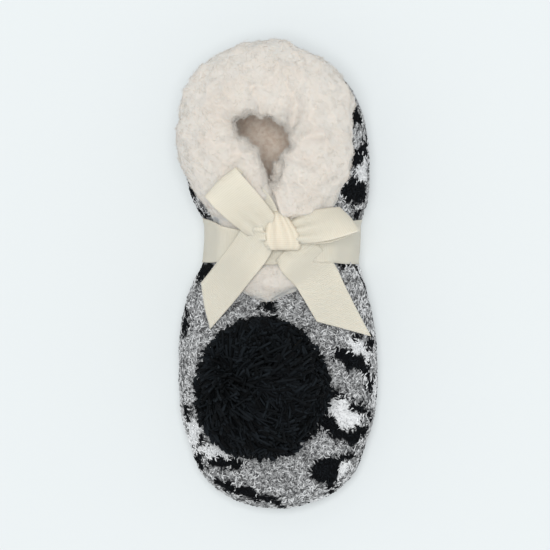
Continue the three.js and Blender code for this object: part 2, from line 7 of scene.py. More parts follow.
import bmesh
import bpy
import numpy as np
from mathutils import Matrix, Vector


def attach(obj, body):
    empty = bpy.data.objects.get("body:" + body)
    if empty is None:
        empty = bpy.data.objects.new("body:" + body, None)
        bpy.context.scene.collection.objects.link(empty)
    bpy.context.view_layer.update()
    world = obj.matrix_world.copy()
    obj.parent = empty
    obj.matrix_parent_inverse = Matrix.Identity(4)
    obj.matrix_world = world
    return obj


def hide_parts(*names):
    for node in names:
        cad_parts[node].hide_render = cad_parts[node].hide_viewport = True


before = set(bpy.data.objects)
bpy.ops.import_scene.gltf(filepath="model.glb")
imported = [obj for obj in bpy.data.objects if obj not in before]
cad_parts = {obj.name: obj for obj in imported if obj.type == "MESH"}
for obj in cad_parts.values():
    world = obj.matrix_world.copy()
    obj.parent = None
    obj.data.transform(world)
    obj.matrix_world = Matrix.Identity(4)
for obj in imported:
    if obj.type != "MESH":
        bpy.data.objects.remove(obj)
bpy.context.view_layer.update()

MM = 0.001
BODY = "root"

# Knitted upper
UPPER_LENGTH = 244.0
BALL_WIDTH = 104.0
COLLAR_HEIGHT = 75.0
UPPER_WALL = 4.0
TUCK = 7.0
TOE_REACH = 40.0
HEEL_REACH = 38.0
CROWN_POWER = 2.35
TUCK_POWER = 2.6
WAIST_LEAN = 2.9
WAIST_ALONG = 0.59
WAIST_RUN = 23.0
SEAT = 0.3

# Sole and footbed
SOLE_THICKNESS = 4.5
SOLE_SHOW = 2.0
TOE_SPRING = 5.0
ARCH_RISE = 4.0
HEEL_SPRING = 1.5
FOOTBED_THICKNESS = 4.0

# Fleece cuff
HOLE_REACH = 17.0
FLAP_REACH = 46.0
CUFF_PILE = 13.0
FRONT_PILE = 7.0
PILE_FULLNESS = 2.6
HEM_SHARE = 0.965
CUFF_LIP = 10.0
CUFF_DROP = 9.0
HOLE_ALONG = 0.778
HOLE_LEAN = -3.0

# Pompom
POMPOM_WIDTH = 71.0
POMPOM_LENGTH = 77.0
POMPOM_HEIGHT = 62.0
POMPOM_ALONG = 0.258
POMPOM_LEAN = -4.0
POMPOM_SINK = 8.0

# Ribbon
RIBBON_WIDTH = 22.8
RIBBON_THICKNESS = 0.6
RIBBON_GAP = 0.7
BAND_ALONG = 0.571
PRESSED_PILE = 4.0
PRESSED_FULL = 24.0
PRESSED_HALF = 36.0
PRESSED_SLOPE = 1.1
KNOT_WIDTH = 21.0
KNOT_LENGTH = 20.0
KNOT_HEIGHT = 10.0
KNOT_LEAN = 3.1
KNOT_TAPER = 0.5
KNOT_BACK = 5.0
LOOP_LENGTH = 40.0
LOOP_HEIGHT = 10.0
TAIL_LENGTH = 54.0
TAIL_RISE = 2.8

# The upper's stations from toe tip to heel back: share of the length, half width as a share of
# half the ball width, and top and widest line as shares of the collar height.
ALONG, HALF, TOP, BELLY = range(4)
STATIONS = np.array([
    (0.0, 0.0, 0.575, 0.27),
    (0.02, 0.44, 0.58, 0.265),
    (0.07, 0.745, 0.6, 0.255),
    (0.139, 0.885, 0.635, 0.25),
    (0.207, 0.975, 0.67, 0.25),
    (0.29, 1.0, 0.705, 0.255),
    (0.38, 0.975, 0.745, 0.265),
    (0.463, 0.895, 0.785, 0.28),
    (0.515, 0.8, 0.8, 0.295),
    (0.565, 0.755, 0.805, 0.3),
    (0.615, 0.795, 0.835, 0.31),
    (0.667, 0.885, 0.88, 0.325),
    (0.735, 0.92, 0.935, 0.345),
    (0.8, 0.9, 0.97, 0.365),
    (0.86, 0.83, 0.99, 0.385),
    (0.922, 0.66, 1.0, 0.4),
    (0.975, 0.37, 0.995, 0.41),
    (1.0, 0.0, 0.985, 0.415),
])
LAST = len(STATIONS) - 1

# The cuff in plan: bearing from the heel direction, and the reaches of the foot hole and the flap
# as shares of HOLE_REACH and FLAP_REACH.
BEARING, HOLE, FLAP = range(3)
CUFF_ROWS = np.array([
    (0, 1.0, 1.12),
    (30, 1.05, 1.08),
    (60, 1.05, 1.06),
    (90, 0.97, 0.93),
    (115, 0.74, 0.94),
    (135, 0.65, 1.0),
    (155, 0.7, 1.26),
    (170, 1.0, 1.7),
    (180, 1.4, 1.78),
])


def smooth(share):
    """Eases a share from 0 to 1 with no slope at either end."""
    share = np.clip(share, 0, 1)
    return share * share * (3 - 2 * share)


def unit(vectors):
    return vectors / (np.linalg.norm(vectors, axis=-1, keepdims=True) + 1e-9)


def cubic(before, start, end, after, t):
    """The cubic from start to end whose slope at each is half the step between its neighbours."""
    slope, next_slope = (end - before) / 2, (after - start) / 2
    bend = 3 * (end - start) - 2 * slope - next_slope
    curl = 2 * (start - end) + slope + next_slope
    return start + t * (slope + t * (bend + t * curl))


def station_value(column, place):
    """A column of STATIONS at places between its rows, on the cubic curve through the rows. Past
    the tips the outline mirrors."""
    values = STATIONS[:, column]
    sign = -1 if column == HALF else 1
    values = np.concatenate([[sign * values[1]], values, [sign * values[-2]]])
    row = np.minimum(np.floor(place).astype(int), LAST - 1)
    return cubic(*(values[row + step] for step in range(4)), place - row)


def place_at(along, steps):
    """The places whose share of the length is along, read from a table of that many steps."""
    table = np.linspace(0, LAST, steps + 1)
    return np.interp(along, station_value(ALONG, table), table)


def lengthwise(along):
    return (along - 0.5) * UPPER_LENGTH


def sole_lift(y):
    """How far the underside is off the floor: toe spring, arch and heel spring."""
    along = y / UPPER_LENGTH + 0.5
    toe = np.clip((0.15 - along) / 0.15, 0, None)
    arch = np.clip((along - 0.37) / 0.39, 0, 1)
    heel = np.clip((along - 0.93) / 0.07, 0, None)
    return TOE_SPRING * toe**2 + ARCH_RISE * np.sin(np.pi * arch) ** 2 + HEEL_SPRING * heel**2


def outline(place, grow=0.0):
    """The right side's outline in plan, moved outward by grow along its normal."""
    place = np.asarray(place, float)
    step = 0.01
    before, after = np.clip(place - step, 0, LAST), np.clip(place + step, 0, LAST)
    dx = (station_value(HALF, after) - station_value(HALF, before)) * BALL_WIDTH / 2
    dy = (station_value(ALONG, after) - station_value(ALONG, before)) * UPPER_LENGTH
    tip = (place <= 0) | (place >= LAST)
    dx = np.where(tip, np.where(place <= 0, 1.0, -1.0), dx)
    dy = np.where(tip, 0.0, dy)
    size = np.hypot(dx, dy)
    x = station_value(HALF, place) * BALL_WIDTH / 2
    y = lengthwise(station_value(ALONG, place))
    return x + grow * dy / size, y - grow * dx / size


def spine_y(place):
    reach = UPPER_LENGTH - TOE_REACH - HEEL_REACH
    return lengthwise(0) + TOE_REACH + station_value(ALONG, place) * reach


def form_point(place, rise, grow=0.0):
    """A point on the right side of the upper's form. rise is 90 at the top line, 0 at the widest
    line and -90 at the sole's edge, on a quarter superellipse above and another below."""
    place, rise = np.broadcast_arrays(np.asarray(place, float), np.asarray(rise, float))
    belly = station_value(BELLY, place) * COLLAR_HEIGHT
    top = station_value(TOP, place) * COLLAR_HEIGHT + grow
    across = np.clip(np.cos(np.radians(rise)), 0, 1)
    up = np.abs(np.sin(np.radians(rise)))
    inward = np.where(rise < 0, TUCK * (1 - across ** (2 / TUCK_POWER)), 0)
    edge_x, edge_y = outline(place, grow - inward)
    out = across ** (2 / CROWN_POWER)
    spine = spine_y(place)
    foot = sole_lift(edge_y) + SOLE_THICKNESS + SEAT
    above = np.stack([
        edge_x * out,
        spine + (edge_y - spine) * out,
        belly + (top - belly) * up ** (2 / CROWN_POWER),
    ], -1)
    below = np.stack([edge_x, edge_y, belly - (belly - foot) * up ** (2 / TUCK_POWER)], -1)
    return np.where((rise >= 0)[..., None], above, below)


def form_share(x, y):
    """Where points in plan lie on the form: the place of the profile that passes over each, found
    by halving, and its share of the way out from the top line to the outline."""
    side = np.abs(x)
    low, high = np.zeros(np.shape(x)), np.full(np.shape(x), float(LAST))
    for _ in range(26):
        middle = (low + high) / 2
        edge_x, edge_y = outline(middle)
        spine = spine_y(middle)
        past = edge_x * (y - spine) - (edge_y - spine) * side < 0
        high = np.where(past, middle, high)
        low = np.where(past, low, middle)
    edge_x, edge_y = outline(low)
    spine = spine_y(low)
    return low, np.hypot(side, y - spine) / np.hypot(edge_x, edge_y - spine)


def form_top(x, y):
    """The height of the form over points in plan, as if it had no collar opening."""
    place, out = form_share(x, y)
    belly = station_value(BELLY, place) * COLLAR_HEIGHT
    top = station_value(TOP, place) * COLLAR_HEIGHT
    up = np.clip(1 - out**CROWN_POWER, 0, 1) ** (1 / CROWN_POWER)
    return belly + (top - belly) * up


def form_normal(x, y):
    """The form's outward normal over points in plan, from its slopes, which are taken over a
    longer step round the point where the heel's profiles meet."""
    step = 0.5 + 5 * np.exp(-(x**2 + (y - spine_y(float(LAST))) ** 2) / 60)
    slope_x = (form_top(x + step, y) - form_top(x - step, y)) / (2 * step)
    slope_y = (form_top(x, y + step) - form_top(x, y - step)) / (2 * step)
    return unit(np.stack([-slope_x, -slope_y, np.ones(np.shape(x))], -1))


HOLE_Y = lengthwise(HOLE_ALONG)
BAND_Y = lengthwise(BAND_ALONG)


def cuff_share(column, bearing):
    """A column of CUFF_ROWS at bearings in radians, eased from row to row."""
    turn = np.degrees(np.arccos(np.clip(np.cos(bearing), -1, 1)))
    after = np.clip(np.searchsorted(CUFF_ROWS[:, BEARING], turn), 1, len(CUFF_ROWS) - 1)
    start, end = CUFF_ROWS[after - 1], CUFF_ROWS[after]
    share = smooth((turn - start[..., BEARING]) / (end[..., BEARING] - start[..., BEARING]))
    return start[..., column] + (end[..., column] - start[..., column]) * share


def hole_at(bearing):
    return HOLE_REACH * cuff_share(HOLE, bearing)


def plan_point(bearing, reach):
    return HOLE_LEAN + reach * np.sin(bearing), HOLE_Y + reach * np.cos(bearing)


def from_hole(x, y):
    """Bearing and reach of points in plan from the middle of the foot hole."""
    return np.arctan2(x - HOLE_LEAN, y - HOLE_Y), np.hypot(x - HOLE_LEAN, y - HOLE_Y)


def flap_at(bearing):
    """The flap's edge, held inside the outline where it would hang past it."""
    low, high = np.zeros(np.shape(bearing)), FLAP_REACH * cuff_share(FLAP, bearing)
    for _ in range(16):
        middle = (low + high) / 2
        beyond = form_share(*plan_point(bearing, middle))[1] > HEM_SHARE
        high = np.where(beyond, middle, high)
        low = np.where(beyond, low, middle)
    return low


def pile_under_band(x):
    return PRESSED_PILE * smooth((PRESSED_HALF - np.abs(x)) / (PRESSED_HALF - PRESSED_FULL))


def cuff_thickness(share, x, y):
    """The fleece's thickness at a share of the way from the hole to its outer edge."""
    rounded = np.sqrt(np.clip(1 - np.abs(2 * share - 1) ** PILE_FULLNESS, 0, 1))
    back = smooth((y - BAND_Y) / (HOLE_Y - BAND_Y))
    pile = FRONT_PILE + (CUFF_PILE - FRONT_PILE) * back
    off_band = np.clip(np.abs(y - BAND_Y) - RIBBON_WIDTH / 2 - SEAT, 0, None)
    return np.minimum(pile * rounded, pile_under_band(x) - SEAT + PRESSED_SLOPE * off_band)


def cover_top(x, y):
    """The height of what lies under the bow: knit, fleece and band."""
    x, y = np.asarray(x, float), np.asarray(y, float)
    bearing, reach = from_hole(x, y)
    near = hole_at(bearing)
    share = np.clip((reach - near) / (flap_at(bearing) - near), 0, 1)
    fleece = np.clip(cuff_thickness(share, x, y), 0, None) / form_normal(x, y)[..., 2]
    on_band = np.abs(y - BAND_Y) < RIBBON_WIDTH / 2 + 1
    band = np.where(on_band, pile_under_band(x) + RIBBON_GAP + RIBBON_THICKNESS, 0)
    return form_top(x, y) + np.maximum(fleece, band)


def waist_shift(y):
    """How far everything at a point along the slipper is shifted to the side. The shapes are laid
    out about a straight middle line, and build_mesh shifts them."""
    return WAIST_LEAN * np.exp(-(((y - lengthwise(WAIST_ALONG)) / WAIST_RUN) ** 2))


def build_mesh(name, points, quads=None, triangles=None, colours=None, uvs=None):
    """Puts points in millimetres and index arrays of quads and triangles into a new smooth mesh,
    with an optional colour or UV for each point."""
    points = np.array(points, float)
    points[:, 0] += waist_shift(points[:, 1])
    faces = [f for f in (quads, triangles) if f is not None and len(f)]
    corners = np.concatenate([f.reshape(-1) for f in faces]).astype(np.int32)
    sizes = np.concatenate([np.full(len(f), f.shape[1]) for f in faces])
    mesh = bpy.data.meshes.new(name)
    mesh.vertices.add(len(points))
    mesh.vertices.foreach_set("co", (points * MM).astype(np.float32).ravel())
    mesh.loops.add(len(corners))
    mesh.loops.foreach_set("vertex_index", corners)
    mesh.polygons.add(len(sizes))
    starts = np.concatenate([[0], np.cumsum(sizes)[:-1]]).astype(np.int32)
    mesh.polygons.foreach_set("loop_start", starts)
    mesh.polygons.foreach_set("use_smooth", np.ones(len(sizes), bool))
    mesh.update(calc_edges=True)
    if colours is not None:
        layer = mesh.color_attributes.new("Colour", "FLOAT_COLOR", "POINT")
        rgba = np.concatenate([colours, np.ones((len(colours), 1))], 1)
        layer.data.foreach_set("color", rgba.astype(np.float32).ravel())
    if uvs is not None:
        layer = mesh.uv_layers.new(name="Weave")
        layer.data.foreach_set("uv", uvs[corners].astype(np.float32).ravel())
    piece = bpy.data.objects.new(name, mesh)
    bpy.context.scene.collection.objects.link(piece)
    return piece


def weld(piece, distance=0.01):
    """Merges doubled points and turns every face outward."""
    work = bmesh.new()
    work.from_mesh(piece.data)
    bmesh.ops.remove_doubles(work, verts=work.verts, dist=distance * MM)
    bmesh.ops.recalc_face_normals(work, faces=work.faces)
    work.to_mesh(piece.data)
    work.free()
    piece.data.update()


def thicken(piece, thickness, offset=0.0):
    """Gives a sheet its thickness, to both sides or, at an offset of -1, inwards."""
    layer = piece.modifiers.new("thickness", "SOLIDIFY")
    layer.thickness = thickness * MM
    layer.offset = offset
    return layer


def finish_piece(piece, slot, material, *nodes):
    piece.data.materials.append(material)
    if nodes:
        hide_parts(*nodes)
    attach(piece, BODY)
    return piece


def grid_quads(rows, columns, wrap_rows=False, wrap_columns=False):
    """Corner indices of a grid of rows by columns points, joined up where it wraps."""
    row = np.arange(rows if wrap_rows else rows - 1)
    column = np.arange(columns if wrap_columns else columns - 1)
    row, column = np.meshgrid(row, column, indexing="ij")
    next_row, next_column = (row + 1) % rows, (column + 1) % columns
    corners = [
        row * columns + column,
        row * columns + next_column,
        next_row * columns + next_column,
        next_row * columns + column,
    ]
    return np.stack(corners, -1).reshape(-1, 4)


def end_fans(rows, columns, first_tip, last_tip):
    """Triangles that close a tube of rings: from the first to one point, the last to another."""
    k = np.arange(columns)
    after = (k + 1) % columns
    last = (rows - 1) * columns
    return np.concatenate([
        np.stack([after, k, np.full(columns, first_tip)], 1),
        np.stack([last + k, last + after, np.full(columns, last_tip)], 1),
    ])


def copied(faces, count, block):
    """The faces of a small shape for that many copies of it, with block points in each."""
    return (faces + (np.arange(count) * block)[:, None, None]).reshape(-1, faces.shape[1])


def cloud(points, size, seed):
    """Soft noise from -1 to 1 with features of about that size: random values at the corners of a
    grid of cells, eased from corner to corner."""
    cells = 32
    values = np.random.default_rng(seed).uniform(-1, 1, (cells, cells, cells))
    place = np.asarray(points) / size
    cell = np.floor(place).astype(int)
    share = smooth(place - cell)
    total = np.zeros(place.shape[:-1])
    for corner in np.ndindex(2, 2, 2):
        weight = np.where(corner, share, 1 - share).prod(-1)
        i, j, k = np.moveaxis((cell + corner) % cells, -1, 0)
        total += weight * values[i, j, k]
    return total


def line_nearness(points, start, end, width):
    """How near points are to a straight line between two ends: 1 on it, fading over the width."""
    start, span = np.asarray(start, float), np.subtract(end, start)
    share = np.clip((points - start) @ span / (span @ span), 0, 1)
    gap = np.linalg.norm(points - start - share[..., None] * span, axis=-1)
    return np.exp(-((gap / width) ** 2))


def scatter(points, quads, count, rng):
    """count random points spread evenly over a quad mesh, with their normals."""
    tri = np.concatenate([quads[:, [0, 1, 2]], quads[:, [0, 2, 3]]])
    a, b, c = (points[tri[:, k]] for k in range(3))
    cross = np.cross(b - a, c - a)
    area = np.linalg.norm(cross, axis=1)
    pick = rng.choice(len(tri), count, p=area / area.sum())
    u, v = rng.random(count), rng.random(count)
    u, v = np.where(u + v > 1, 1 - u, u)[:, None], np.where(u + v > 1, 1 - v, v)[:, None]
    place = a[pick] + u * (b - a)[pick] + v * (c - a)[pick]
    return place, cross[pick] / area[pick][:, None]


def tangents(normal, turn):
    """A unit direction in the surface at an angle, in radians, and the one at right angles."""
    aid = np.where(np.abs(normal[:, 2:3]) > 0.9, [[0.0, 1.0, 0.0]], [[0.0, 0.0, 1.0]])
    first = unit(np.cross(normal, aid))
    second = np.cross(normal, first)
    cos, sin = np.cos(turn)[:, None], np.sin(turn)[:, None]
    return cos * first + sin * second, cos * second - sin * first


def strand_mesh(name, lines, radii, colours, sides=3):
    """Closed strands of yarn or fibre. lines is strands x steps x 3 and radii is strands x steps;
    each strand is a tube with a point closing each end."""
    count, steps, _ = lines.shape
    along = unit(np.gradient(lines, axis=1))
    aid = np.where(np.abs(along[:, :1, 2:3]) > 0.8, [[[1.0, 0.0, 0.0]]], [[[0.0, 0.0, 1.0]]])
    u = unit(np.cross(along, np.broadcast_to(aid, along.shape)))
    v = np.cross(along, u)
    turn = 2 * np.pi * np.arange(sides) / sides
    rings = (
        lines[:, :, None]
        + radii[:, :, None, None] * (np.cos(turn)[:, None] * u[:, :, None]
                                     + np.sin(turn)[:, None] * v[:, :, None])
    )
    tip = lines[:, -1] + along[:, -1] * radii[:, -1:]
    block = steps * sides + 2
    points = np.concatenate([rings.reshape(count, -1, 3), lines[:, :1], tip[:, None]], 1)
    quads = copied(grid_quads(steps, sides, wrap_columns=True), count, block)
    fans = copied(end_fans(steps, sides, block - 2, block - 1), count, block)
    return build_mesh(name, points.reshape(-1, 3), quads, fans, np.repeat(colours, block, axis=0))


# Leopard pattern of the knit: patches as seen from above. Middle, half length and half
# width in millimetres, turn in degrees from X towards +Y, and ink.
GREY, BLACK, WHITE = range(3)
PATCHES = np.array([
    (44.5, -40, 9, 4, -50, WHITE),
    (39.6, -44.6, 11.6, 4.2, -35, BLACK),
    (43, -32.5, 3.6, 3, 0, BLACK),
    (49.5, -36, 4, 2.6, -70, BLACK),
    (49.8, -57, 8.5, 2.6, -90, BLACK),
    (32.5, -62, 5.4, 3.2, 0, BLACK),
    (36, -72.5, 10.5, 6.8, -35, WHITE),
    (43.5, -69.5, 5, 3, -38, BLACK),
    (28.5, -76.5, 5.5, 4, -60, BLACK),
    (36, -83.5, 8, 4, -20, BLACK),
    (44, -81, 4.6, 3.4, 40, BLACK),
    (50.2, -74.5, 5, 2.4, -90, BLACK),
    (35, -101.5, 8, 5, 45, WHITE),
    (26, -101.5, 8, 7, 45, BLACK),
    (35.5, -95, 5.5, 2.4, 20, BLACK),
    (30.5, -110, 4.6, 2.6, -35, BLACK),
    (38.5, -102.5, 3, 1.1, 55, BLACK),
    (-44.2, -84.5, 10.5, 6.4, -72, WHITE),
    (-46.8, -71.5, 5.2, 3.4, -80, BLACK),
    (-37.6, -87.5, 6, 2.2, -70, BLACK),
    (-30.5, -93, 8.8, 3.6, -20, WHITE),
    (-41.5, -97, 6, 4, -52, BLACK),
    (-28.5, -97.5, 7, 3, -12, BLACK),
    (-20.5, -98, 4.5, 3.4, 0, BLACK),
    (-26, -110.5, 8.5, 3.4, -40, BLACK),
    (-13.5, -114.5, 8.4, 4.6, -20, BLACK),
    (-3, -118, 6, 3.8, -10, BLACK),
    (-8, -121.5, 4, 1.8, 0, WHITE),
    (-36, 2, 8, 5, -45, BLACK),
    (-48, -24, 7.5, 4, -90, BLACK),
    (-2, -16.5, 4.4, 4.4, 0, BLACK),
    (-44, 43, 4.6, 3.4, -30, BLACK),
    (-38.5, 29, 6, 4, -70, BLACK),
    (39, 7, 6.5, 3.8, -10, BLACK),
    (42, 43, 7, 6.5, -40, BLACK),
    (43.5, 28, 5, 3.2, -90, BLACK),
    (46, 55.5, 7.5, 3.2, -90, WHITE),
    (42, 60, 5.6, 4, -90, BLACK),
    (47, 65.5, 4, 2.4, -90, BLACK),
    (42.5, 85, 8, 4.6, -80, BLACK),
    (33, 103, 7, 4, -50, WHITE),
    (-14, 117, 5, 3.4, 15, WHITE),
    (-26, 111, 6, 4, 40, BLACK),
    (-42, 88, 8, 4, 80, BLACK),
    (-46, 70, 6, 3.2, 90, WHITE),
    (-44, 58, 5, 4.4, 60, BLACK),
])
PATCH_FOOT = 7.0  # how far above the widest line the patches stop
PATCH_WAVER = 3.5  # how much that height wavers
EDGE_RAGGED = 0.7

# Low on the sides the patches are broken rings, spaced along the outline.
RING_PITCH = 31.0
RING_START = 20.0
RING_HEIGHT = 17.0
RING_STAGGER = 4.5  # every other ring is lower by twice this
RING_LONG = 8.0
RING_TALL = 6.5
RING_TURN = 25.0
RING_ENDS = (-72.0, 84.0)  # where the outline starts to turn round the toe and the heel
RING_ROUND = 44.0  # the radius of those turns
RING_WHITE = 0.55  # squares of the share of the way out: the middle, and the ring round it
RING_BLACK = (0.45, 1.7)
RING_GAPS = -0.35


def in_ellipse(along, across, long, wide, turn):
    """The square of the share of the way out from an ellipse's middle to its edge."""
    cos, sin = np.cos(np.radians(turn)), np.sin(np.radians(turn))
    u, v = cos * along + sin * across, cos * across - sin * along
    return (u / long) ** 2 + (v / wide) ** 2


def leopard(points, rng):
    """The ink at points on the knit: from the charted patches where the surface faces up, and from
    broken rings round a white middle low on the sides. Edges waver as knitted ones do."""
    x, y, z = (points + rng.normal(0, EDGE_RAGGED, points.shape)).T
    x = x + waist_shift(y)
    wave = 0.9 * np.sin(0.55 * x + 1.9 * np.sin(0.31 * y)) + 0.7 * np.sin(0.83 * y + 0.4 * z)
    ink = np.full(len(points), GREY)
    for mid_x, mid_y, long, wide, turn, colour in PATCHES:
        inside = in_ellipse(x + 0.6 * wave - mid_x, y + 0.5 * wave - mid_y, long, wide, turn) < 1
        ink[inside] = colour
    along = np.interp(y, lengthwise(STATIONS[:, ALONG]), np.arange(LAST + 1.0))
    belly = station_value(BELLY, np.clip(along, 0, LAST)) * COLLAR_HEIGHT
    side = np.where(x < 0, -1, 1)
    below = z < belly + PATCH_FOOT + PATCH_WAVER * np.sin(0.13 * y + 2 * side)
    round_heel, round_toe = (np.arctan2(np.maximum(past, 0), np.abs(x))
                             for past in (y - RING_ENDS[1], RING_ENDS[0] - y))
    run = np.clip(y, *RING_ENDS) + RING_ROUND * (round_heel - round_toe)
    run = side * (UPPER_LENGTH / 2 + RING_START - run) + 0.8 * wave
    number = np.floor(run / RING_PITCH)
    over = run - (number + 0.5) * RING_PITCH
    up = z - RING_HEIGHT - RING_STAGGER * np.where(number % 2 == 0, 1, -1)
    spread = in_ellipse(over, up, RING_LONG, RING_TALL, RING_TURN * np.sin(2.3 * number))
    angle = np.arctan2(up, over)
    broken = np.sin(2 * angle + 1.7 * number) + 0.5 * np.sin(3 * angle + number) > RING_GAPS
    ink[below] = GREY
    ink[below & (spread < RING_WHITE)] = WHITE
    ink[below & (spread > RING_BLACK[0]) & (spread < RING_BLACK[1]) & broken] = BLACK
    return ink


# Yarn colours, linear. A grey fibre is light, middling or dark, in small mottled patches; the
# others keep near their one shade. The ground, what lies between the fibres, has one shade an ink.
GREY_SHADES = np.array([0.12, 0.33, 0.54, 0.74])
GREY_STEPS = np.array([-0.75, -0.25, 0.2])
MOTTLE = 2.6
PLAIN_SHADES = {BLACK: (0.003, 0.011), WHITE: (0.76, 0.88)}
GROUND_SHADES = np.array([0.43, 0.003, 0.8])
COOL = np.array([0.985, 1.0, 1.01])
BLACK_TINT = np.array([0.8, 1.0, 1.25])


def tinted(shade, ink):
    return shade[:, None] * np.where((ink == BLACK)[:, None], BLACK_TINT, COOL)


def ink_colours(ink, root, rng):
    """A colour for each fibre of that ink, rooted there."""
    mottle = 0.8 * cloud(root, MOTTLE, 17) + rng.normal(0, 0.55, len(ink))
    shade = GREY_SHADES[np.searchsorted(GREY_STEPS, mottle)]
    for name, (low, high) in PLAIN_SHADES.items():
        shade = np.where(ink == name, rng.uniform(low, high, len(ink)), shade)
    return tinted(shade * rng.uniform(0.9, 1.05, len(ink)), ink)


# Materials

def new_material(name, roughness, sheen=0.0, sheen_roughness=0.5):
    """A material with its Principled shader, and the nodes and links to add to it."""
    material = bpy.data.materials.new(name)
    material.use_nodes = True
    nodes, links = material.node_tree.nodes, material.node_tree.links
    shader = nodes["Principled BSDF"]
    shader.inputs["Roughness"].default_value = roughness
    shader.inputs["Specular IOR Level"].default_value = 0.12
    shader.inputs["Sheen Weight"].default_value = sheen
    shader.inputs["Sheen Roughness"].default_value = sheen_roughness
    return material, nodes, links, shader


def noise_bump(nodes, links, shader, scale, strength, distance, detail, swirl):
    """A bump from a noise texture on the piece's Object coordinates. Returns the noise."""
    noise = nodes.new("ShaderNodeTexNoise")
    noise.inputs["Scale"].default_value = scale
    noise.inputs["Detail"].default_value = detail
    noise.inputs["Distortion"].default_value = swirl
    place = nodes.new("ShaderNodeTexCoord")
    links.new(place.outputs["Object"], noise.inputs["Vector"])
    add_bump(nodes, links, shader, noise.outputs["Fac"], strength, distance)
    return noise.outputs["Fac"]


def add_bump(nodes, links, shader, height, strength, distance):
    bump = nodes.new("ShaderNodeBump")
    bump.inputs["Strength"].default_value = strength
    bump.inputs["Distance"].default_value = distance
    links.new(height, bump.inputs["Height"])
    links.new(bump.outputs["Normal"], shader.inputs["Normal"])


def mixed_colour(nodes, links, factor, low, high, low_at, high_at):
    """A colour that goes from low to high with a factor, between two of its values."""
    ramp = nodes.new("ShaderNodeValToRGB")
    for stop, at, tone in zip(ramp.color_ramp.elements, (low_at, high_at), (low, high)):
        stop.position = at
        stop.color = (*tone, 1)
    links.new(factor, ramp.inputs["Fac"])
    return ramp.outputs["Color"]


def attribute(nodes, name, output="Color"):
    node = nodes.new("ShaderNodeAttribute")
    node.attribute_name = name
    return node.outputs[output]


def soften(shader, weight):
    """Lets light through the pile a little."""
    shader.inputs["Subsurface Weight"].default_value = weight
    shader.inputs["Subsurface Radius"].default_value = (1.0, 0.85, 0.75)
    shader.inputs["Subsurface Scale"].default_value = 0.0035


def fibre_material(name, roughness, bump, tones=None, sheen=(0.0, 0.5), inner_light=0.0):
    """A finish with a noise bump: scale, strength, distance, detail and swirl. Its colour is mixed
    from two tones by the noise or, where none are given, is the piece's own Colour attribute."""
    material, nodes, links, shader = new_material(name, roughness, *sheen)
    noise = noise_bump(nodes, links, shader, *bump)
    tone = mixed_colour(nodes, links, noise, *tones) if tones else attribute(nodes, "Colour")
    links.new(tone, shader.inputs["Base Color"])
    soften(shader, inner_light)
    return material


# Between its fibres the knit shows small dark curls: the levels of the noise where they are full
# and gone, how strong they are, and their colour.
CURL_LEVELS = (0.44, 0.58)
CURL_STRENGTH = 0.9
CURL_COLOUR = (0.03, 0.032, 0.034, 1)


def knit_ground_material():
    """The knit between its fibres: the piece's Colour attribute, darkened in small curls where its
    Marl attribute says that the yarn is mixed."""
    material, nodes, links, shader = new_material("knit_ground", 0.95)
    noise = noise_bump(nodes, links, shader, 850, 0.9, 0.0009, 4, 1.2)
    dark = nodes.new("ShaderNodeMapRange")
    dark.inputs["From Min"].default_value, dark.inputs["From Max"].default_value = CURL_LEVELS
    dark.inputs["To Min"].default_value = CURL_STRENGTH
    dark.inputs["To Max"].default_value = 0.0
    links.new(noise, dark.inputs["Value"])
    amount = nodes.new("ShaderNodeMath")
    amount.operation = "MULTIPLY"
    links.new(dark.outputs["Result"], amount.inputs[0])
    links.new(attribute(nodes, "Marl", "Fac"), amount.inputs[1])
    mix = nodes.new("ShaderNodeMix")
    mix.data_type = "RGBA"
    mix.inputs["B"].default_value = CURL_COLOUR
    links.new(amount.outputs["Value"], mix.inputs["Factor"])
    links.new(attribute(nodes, "Colour"), mix.inputs["A"])
    links.new(mix.outputs["Result"], shader.inputs["Base Color"])
    return material


RIB_PITCH = 1.0


def ribbon_material():
    """Grosgrain: fine ribs across the ribbon, from its own Weave UVs in millimetres, and a colour
    darker in the grooves between them: painted shade.
    """
    material, nodes, links, shader = new_material("grosgrain", 0.6)
    uv = nodes.new("ShaderNodeUVMap")
    uv.uv_map = "Weave"
    wave = nodes.new("ShaderNodeTexWave")
    wave.wave_type = "BANDS"
    wave.bands_direction = "Y"
    wave.inputs["Scale"].default_value = np.pi / 10 / RIB_PITCH
    wave.inputs["Distortion"].default_value = 0.0
    links.new(uv.outputs["UV"], wave.inputs["Vector"])
    rib = wave.outputs["Fac"]
    add_bump(nodes, links, shader, rib, 0.35, 0.00015)
    # Painted shade: the colour is darker in the grooves between the ribs, where the bump is low.
    tone = mixed_colour(nodes, links, rib, (0.66, 0.60, 0.485), (0.70, 0.645, 0.535), 0.0, 0.6)
    links.new(tone, shader.inputs["Base Color"])
    soften(shader, 0.5)
    return material


FLEECE_BUMP = (1100, 0.4, 0.0007, 5, 0.8)
LINING_TONES = ((0.69, 0.56, 0.455), (0.80, 0.695, 0.59), 0.36, 0.6)
SOLE_TONES = ((0.05, 0.053, 0.056), (0.13, 0.135, 0.14), 0.3, 0.7)
GRIP_TONES = ((0.012, 0.013, 0.015), (0.022, 0.023, 0.026), 0.3, 0.7)

